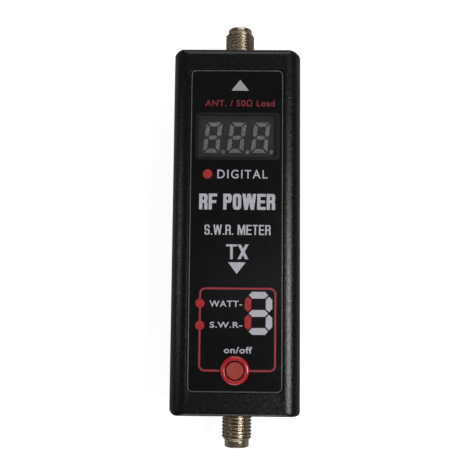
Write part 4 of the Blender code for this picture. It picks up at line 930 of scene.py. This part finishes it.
THREAD_PITCH = 25.4 * MM / 36
CREST_RADIUS = 3.12 * MM
ROOT_RADIUS = 2.70 * MM
TIP_RADIUS = 2.56 * MM
BORE_RADIUS = 2.25 * MM
DIELECTRIC_RADIUS = 2.05 * MM
CONTACT_RADIUS = 0.635 * MM


def jack_turned(side, profile, start=0, sides=96):
    """A profile of (radius, distance) points, turned about a jack's axis. side is 1 or -1 along Y."""
    return turned([(r, side * y) for r, y in profile], (JACK_X, side * start, JACK_Z), "Y", sides)


def thread_height(phase):
    """The thread's profile over one pitch: 0 at the root, 1 on the flat crest."""
    away = abs(2 * (phase % 1.0) - 1)
    rise = np.clip((0.90 - away) / 0.60, 0, 1)
    return rise * rise * (3 - 2 * rise) * 0.3 + rise * 0.7


def make_jack(name, side, plain_tip):
    """The barrel with its helical thread up to the plain tip, then the flange, dielectric and contact."""
    sides, thread_start, thread_end = 120, HALF_LENGTH - 3.0 * MM, JACK_TIP_Y - plain_tip
    rows = np.linspace(thread_start, thread_end, 170)
    inner_y = JACK_ROOT_Y + 0.1 * MM
    tail = [(TIP_RADIUS, thread_end + 0.04 * MM), (TIP_RADIUS, JACK_TIP_Y - 0.14 * MM)]
    tail += [(TIP_RADIUS - 0.05 * MM, JACK_TIP_Y - 0.04 * MM), (TIP_RADIUS - 0.12 * MM, JACK_TIP_Y)]
    tail += [(BORE_RADIUS + 0.08 * MM, JACK_TIP_Y), (BORE_RADIUS, JACK_TIP_Y - 0.08 * MM)]
    tail += [(BORE_RADIUS, JACK_FACE_Y), (DIELECTRIC_RADIUS, JACK_FACE_Y), (DIELECTRIC_RADIUS, inner_y)]
    tail += [(ROOT_RADIUS, inner_y)]
    rings = []
    for step in range(sides):
        angle = math.tau * step / sides
        ring = []
        for y in rows:
            lift = thread_height(y / THREAD_PITCH - side * angle / math.tau)
            radius = ROOT_RADIUS + (CREST_RADIUS - ROOT_RADIUS) * lift
            chamfer = TIP_RADIUS + (thread_end - y) * 1.1
            ring.append((min(radius, chamfer), y))
        across, up = math.cos(angle), math.sin(angle)
        rings.append([(r * across + JACK_X, side * y, r * up + JACK_Z) for r, y in ring + tail])
    barrel = new_object(f"{name}_barrel", loft(rings, ends=False), NICKEL, smooth=75)
    piece(barrel, "jack_nickel", f"{name}_body")
    make_flange(name, side)
    sleeve, hole, edge = DIELECTRIC_RADIUS - 0.03 * MM, CONTACT_RADIUS + 0.03 * MM, 0.05 * MM
    profile = [(hole, JACK_ROOT_Y), (sleeve, JACK_ROOT_Y), (sleeve, JACK_FACE_Y - edge)]
    profile += [(sleeve - edge, JACK_FACE_Y), (hole + edge, JACK_FACE_Y), (hole, JACK_FACE_Y - edge)]
    dielectric = new_object(f"{name}_dielectric", jack_turned(side, profile), PTFE)
    piece(dielectric, "jack_dielectric", f"{name}_insulator")
    make_contact(name, side)


def make_flange(name, side):
    """The square base that the case grips, with a hole for the barrel."""
    low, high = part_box(f"{name}_body")
    half = half_of(low, high)[0]
    base = pillow(half, half, 0.25 * MM, 0, 1.6 * MM, 0.12 * MM)
    for vertex in base.vertices:
        x, y, z = vertex.co
        vertex.co = (JACK_X + x, side * (JACK_ROOT_Y + z), JACK_Z + side * y)
    flange = new_object(f"{name}_flange", base, NICKEL)
    hole = hole_profile(ROOT_RADIUS - 0.1 * MM, -PAST, 3 * MM)
    cut(flange, jack_turned(side, hole, JACK_ROOT_Y))
    piece(finish_edges(flange), "jack_nickel")


def make_contact(name, side):
    """The socket contact: a slotted gold tube with a rounded mouth."""
    outer, bore, face = CONTACT_RADIUS, 0.47 * MM, JACK_FACE_Y
    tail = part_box("ant_jack_contact")[0][1]
    profile = [(0, face - 2.8 * MM), (bore, face - 2.6 * MM), (bore, face - 0.12 * MM)]
    profile += [(bore + 0.05 * MM, face - 0.03 * MM), (bore + 0.10 * MM, face), (outer - 0.03 * MM, face)]
    profile += [(outer, face - 0.04 * MM), (outer, tail), (0, tail)]
    contact = new_object(f"{name}_socket", jack_turned(side, profile, sides=48), GOLD)
    slots = []
    for turn in (0, math.pi / 2):
        size = Vector((1.4 * MM, 4.4 * MM, 0.09 * MM))
        shape = bmesh.new()
        bmesh.ops.create_cube(shape, size=1.0)
        bmesh.ops.scale(shape, vec=size, verts=shape.verts)
        bmesh.ops.rotate(shape, cent=(0, 0, 0), matrix=Matrix.Rotation(turn, 3, "Y"), verts=shape.verts)
        bmesh.ops.translate(shape, vec=(JACK_X, side * face, JACK_Z), verts=shape.verts)
        slots.append(mesh_of(shape))
    piece(finish_edges(cut(contact, *slots)), "contact_gold", f"{name}_contact")


# ---- back, side and hidden pieces ----

def make_screws():
    """Pan heads with a cross recess, at the bottom of the rear shell's counterbores."""
    for number, x, y, head_z in screw_places():
        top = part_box(f"case_screw_{number}")[1][2]
        seat, head, shank = head_z + 1.3 * MM, 1.85 * MM, 1.05 * MM
        profile = [(0, head_z), (0.9 * MM, head_z)]
        profile += [(head - 0.35 * MM, head_z + 0.10 * MM), (head - 0.08 * MM, head_z + 0.34 * MM)]
        profile += [(head, head_z + 0.62 * MM), (head, seat), (shank, seat)]
        profile += [(shank, top - 1.2 * MM), (0.35 * MM, top), (0, top)]
        screw = new_object(f"rear_screw_{number}", turned(profile, (x, y, 0), sides=64), STEEL)
        wings = []
        for half_x, half_y in ((1.15, 0.24), (0.24, 1.15)):
            wide = outline(half_x * MM, half_y * MM, 0.1 * MM, centre=(x, y), steps=4)
            narrow = outline(half_x * 0.55 * MM, half_y * 0.6 * MM, 0.06 * MM, centre=(x, y), steps=4)
            levels = ((wide, -0.3 * MM), (wide, 0), (narrow, 0.8 * MM))
            wings.append(loft([at_height(points, head_z + depth) for points, depth in levels]))
        piece(finish_edges(cut(screw, *wings)), "screw_steel", f"case_screw_{number}")


def make_rear_label():
    """A blank silver film with a thin black border line."""
    low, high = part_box("rear_label")
    corner = 1.0 * MM
    rings = [at_height(outline(high[0], high[1], corner), high[2])]
    for inset, drop in reversed(arc_steps(0.05 * MM, 3)):
        rings.append(at_height(outline(high[0] - inset, high[1] - inset, corner - inset), low[2] + drop))
    film = new_object("rear_film", loft(rings), SILVER_FILM)
    piece(finish_edges(film), "rear_label_film", "rear_label")
    rings = []
    for inset, level in ((0.9, 0), (0.95, 1), (1.15, 1), (1.2, 0)):
        step = inset * MM
        points = outline(high[0] - step, high[1] - step, 0.5 * MM)
        rings.append(at_height(points, low[2] - level * INK))
    piece(new_object("rear_film_border", loft(rings, ends=False), CHIP), "rear_label_film")


def make_usb_socket():
    """The charging socket: its sheet shell, the tongue and the tongue's five contacts."""
    low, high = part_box("usb_shell")
    centre, half, sheet = middle_of(low, high)[1:], half_of(low, high)[1:], 0.3 * MM
    rings = []
    for inset, x in (
        (0, high[0]), (0, low[0] + 0.05 * MM), (0.05 * MM, low[0]), (sheet - 0.1 * MM, low[0]),
        (sheet, low[0] + 0.12 * MM), (sheet, high[0] - sheet),
    ):
        points = outline(half[0] - inset, half[1] - inset, 0.7 * MM - inset, centre=centre)
        rings.append(upright_at(points, x))
    piece(finish_edges(new_object("usb_can", loft(rings), TIN)), "tin_plate", "usb_shell")
    low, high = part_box("usb_tongue")
    centre, half, bevel = middle_of(low, high)[1:], half_of(low, high)[1:], 0.08 * MM
    full = outline(*half, 0.12 * MM, centre=centre)
    nose = outline(half[0] - bevel, half[1] - bevel, 0.08 * MM, centre=centre)
    levels = ((low[0], nose), (low[0] + bevel, full), (high[0], full))
    mesh = loft([upright_at(points, x) for x, points in levels])
    piece(finish_edges(new_object("usb_blade", mesh, CHIP)), "chip_black", "usb_tongue")
    for number in range(5):
        y = centre[0] + (number - 2) * 0.65 * MM
        strip = outline(1.5 * MM, 0.17 * MM, 0.05 * MM, centre=(low[0] + 1.9 * MM, y), steps=3)
        contact = slab(strip, low[2] - 0.03 * MM, low[2] + 0.02 * MM)
        piece(new_object(f"usb_contact_{number + 1}", contact, GOLD), "contact_gold")


def dress_hidden_nodes():
    """The CAD nodes that stay as they are, inside the case, take their slot's material."""
    colours = {entry["slot"]: entry for entry in frame["record"]["materials"]}
    ready = {
        "board_laminate": board_laminate(), "tin_plate": TIN, "chip_black": CHIP, "screw_steel": STEEL,
        "jack_dielectric": PTFE, "tinned_copper": plated("tinned_copper", (0.72, 0.56, 0.36), 0.28),
    }
    for subpart in frame["record"]["subparts"]:
        slot, node = subpart["material_slot"], frame["nodes"][subpart["node"]]
        if slot not in ready:
            colour = tuple(colours[slot]["base_color"][:3])
            metal = colours[slot]["class"] in ("brushed_steel", "aluminium", "brass")
            ready[slot] = plated(slot, colour, 0.3) if metal else plastic(slot, colour, 0.45)
        node.data.materials.clear()
        node.data.materials.append(ready[slot])


# ---- camera, floor and light ----

CAMERA_PLACE = (2.03 * MM, -14.21 * MM, 159.81 * MM)
CAMERA_TILT, CAMERA_YAW, CAMERA_ROLL = -0.089, -0.013, -0.009  # radians
CAMERA_LENS = 52.45  # millimetres, on a 36 mm sensor


def make_camera():
    data = bpy.data.cameras.new("camera")
    data.lens = CAMERA_LENS
    data.sensor_width = 36.0
    data.clip_start = 0.005
    camera = linked("camera", data)
    turn = (
        Matrix.Rotation(CAMERA_ROLL, 3, "Z") @ Matrix.Rotation(CAMERA_TILT, 3, "X")
        @ Matrix.Rotation(CAMERA_YAW, 3, "Y")
    )
    camera.matrix_world = Matrix.Translation(CAMERA_PLACE) @ turn.transposed().to_4x4()
    bpy.context.scene.camera = camera


def make_floor():
    """A pale floor, which the camera also sees glow, so that it comes out near white."""
    half, corner = 3.0, 0.5
    mesh = slab(outline(half, half, corner, steps=8), -0.02, -0.05 * MM)
    floor_finish = Finish("floor_white", (0.36, 0.36, 0.355), 0.8, Emission_Color=(1.0, 1.0, 1.0, 1.0))
    floor_finish.rough(floor_finish.noise(20 * MM), 0.75, 0.9)
    seen = floor_finish.nodes.new("ShaderNodeLightPath").outputs["Is Camera Ray"]
    glow = floor_finish.between(seen, 0.0, 0.9, 0.0, 1.0)
    floor_finish.links.new(glow, floor_finish.shader.inputs["Emission Strength"])
    new_object("floor", mesh, floor_finish.material)


def soft_light(name, across, along, distance, width, length, power, colour=(1, 1, 1)):
    """A rectangular light that faces the meter, at angles in degrees from straight up. Sizes in metres."""
    data = bpy.data.lights.new(name, "AREA")
    data.shape = "RECTANGLE"
    data.size, data.size_y = width, length
    data.energy = power
    data.color = colour
    lamp = linked(name, data)
    a, b = math.radians(across), math.radians(along)
    direction = Vector((math.tan(a), math.tan(b), 1)).normalized()
    target = Vector((0, 0, DEPTH / 2))
    lamp.location = target + direction * distance
    lamp.rotation_euler = direction.to_track_quat("Z", "Y").to_euler()


def make_light():
    """The lights, a dim warm world, and a paler backdrop that only the camera sees."""
    soft_light("key_right", 31, -5, 0.60, 0.16, 0.27, 1.5, (1.0, 0.995, 0.98))
    soft_light("key_high", 11, 2, 0.60, 0.03, 0.30, 0.012, (0.88, 0.94, 1.0))
    soft_light("rim_left", -58, 5, 0.60, 0.05, 0.30, 0.19, (1.0, 0.97, 0.92))
    soft_light("fill_back", 10, 57, 0.70, 0.60, 0.40, 1.1)
    soft_light("spark", 29, 53, 0.70, 0.06, 0.06, 0.12)
    soft_light("fill_front", -8, -72, 0.80, 0.60, 0.30, 1.6)
    world = bpy.data.worlds.new("studio")
    bpy.context.scene.world = world
    world.use_nodes = True
    nodes, links = world.node_tree.nodes, world.node_tree.links
    background = settle(nodes["Background"], Color=(0.075, 0.073, 0.070, 1.0), Strength=1.0)
    backdrop = settle(nodes.new("ShaderNodeBackground"), Color=(0.9, 0.9, 0.9, 1.0))
    seen = nodes.new("ShaderNodeLightPath")
    mix = nodes.new("ShaderNodeMixShader")
    links.new(seen.outputs["Is Camera Ray"], mix.inputs["Fac"])
    links.new(background.outputs["Background"], mix.inputs[1])
    links.new(backdrop.outputs["Background"], mix.inputs[2])
    links.new(mix.outputs["Shader"], nodes["World Output"].inputs["Surface"])
    bpy.context.scene.view_settings.view_transform = "Standard"


make_camera()
make_floor()
make_light()
dress_hidden_nodes()
make_front_shell()
make_rear_shell()
make_overlay()
make_printing()
make_display()
make_window_border()
make_window()
make_button()
make_snap_dome()
make_jack("ant_jack", 1, 0.95 * MM)
make_jack("tx_jack", -1, 1.40 * MM)
make_screws()
make_rear_label()
make_usb_socket()
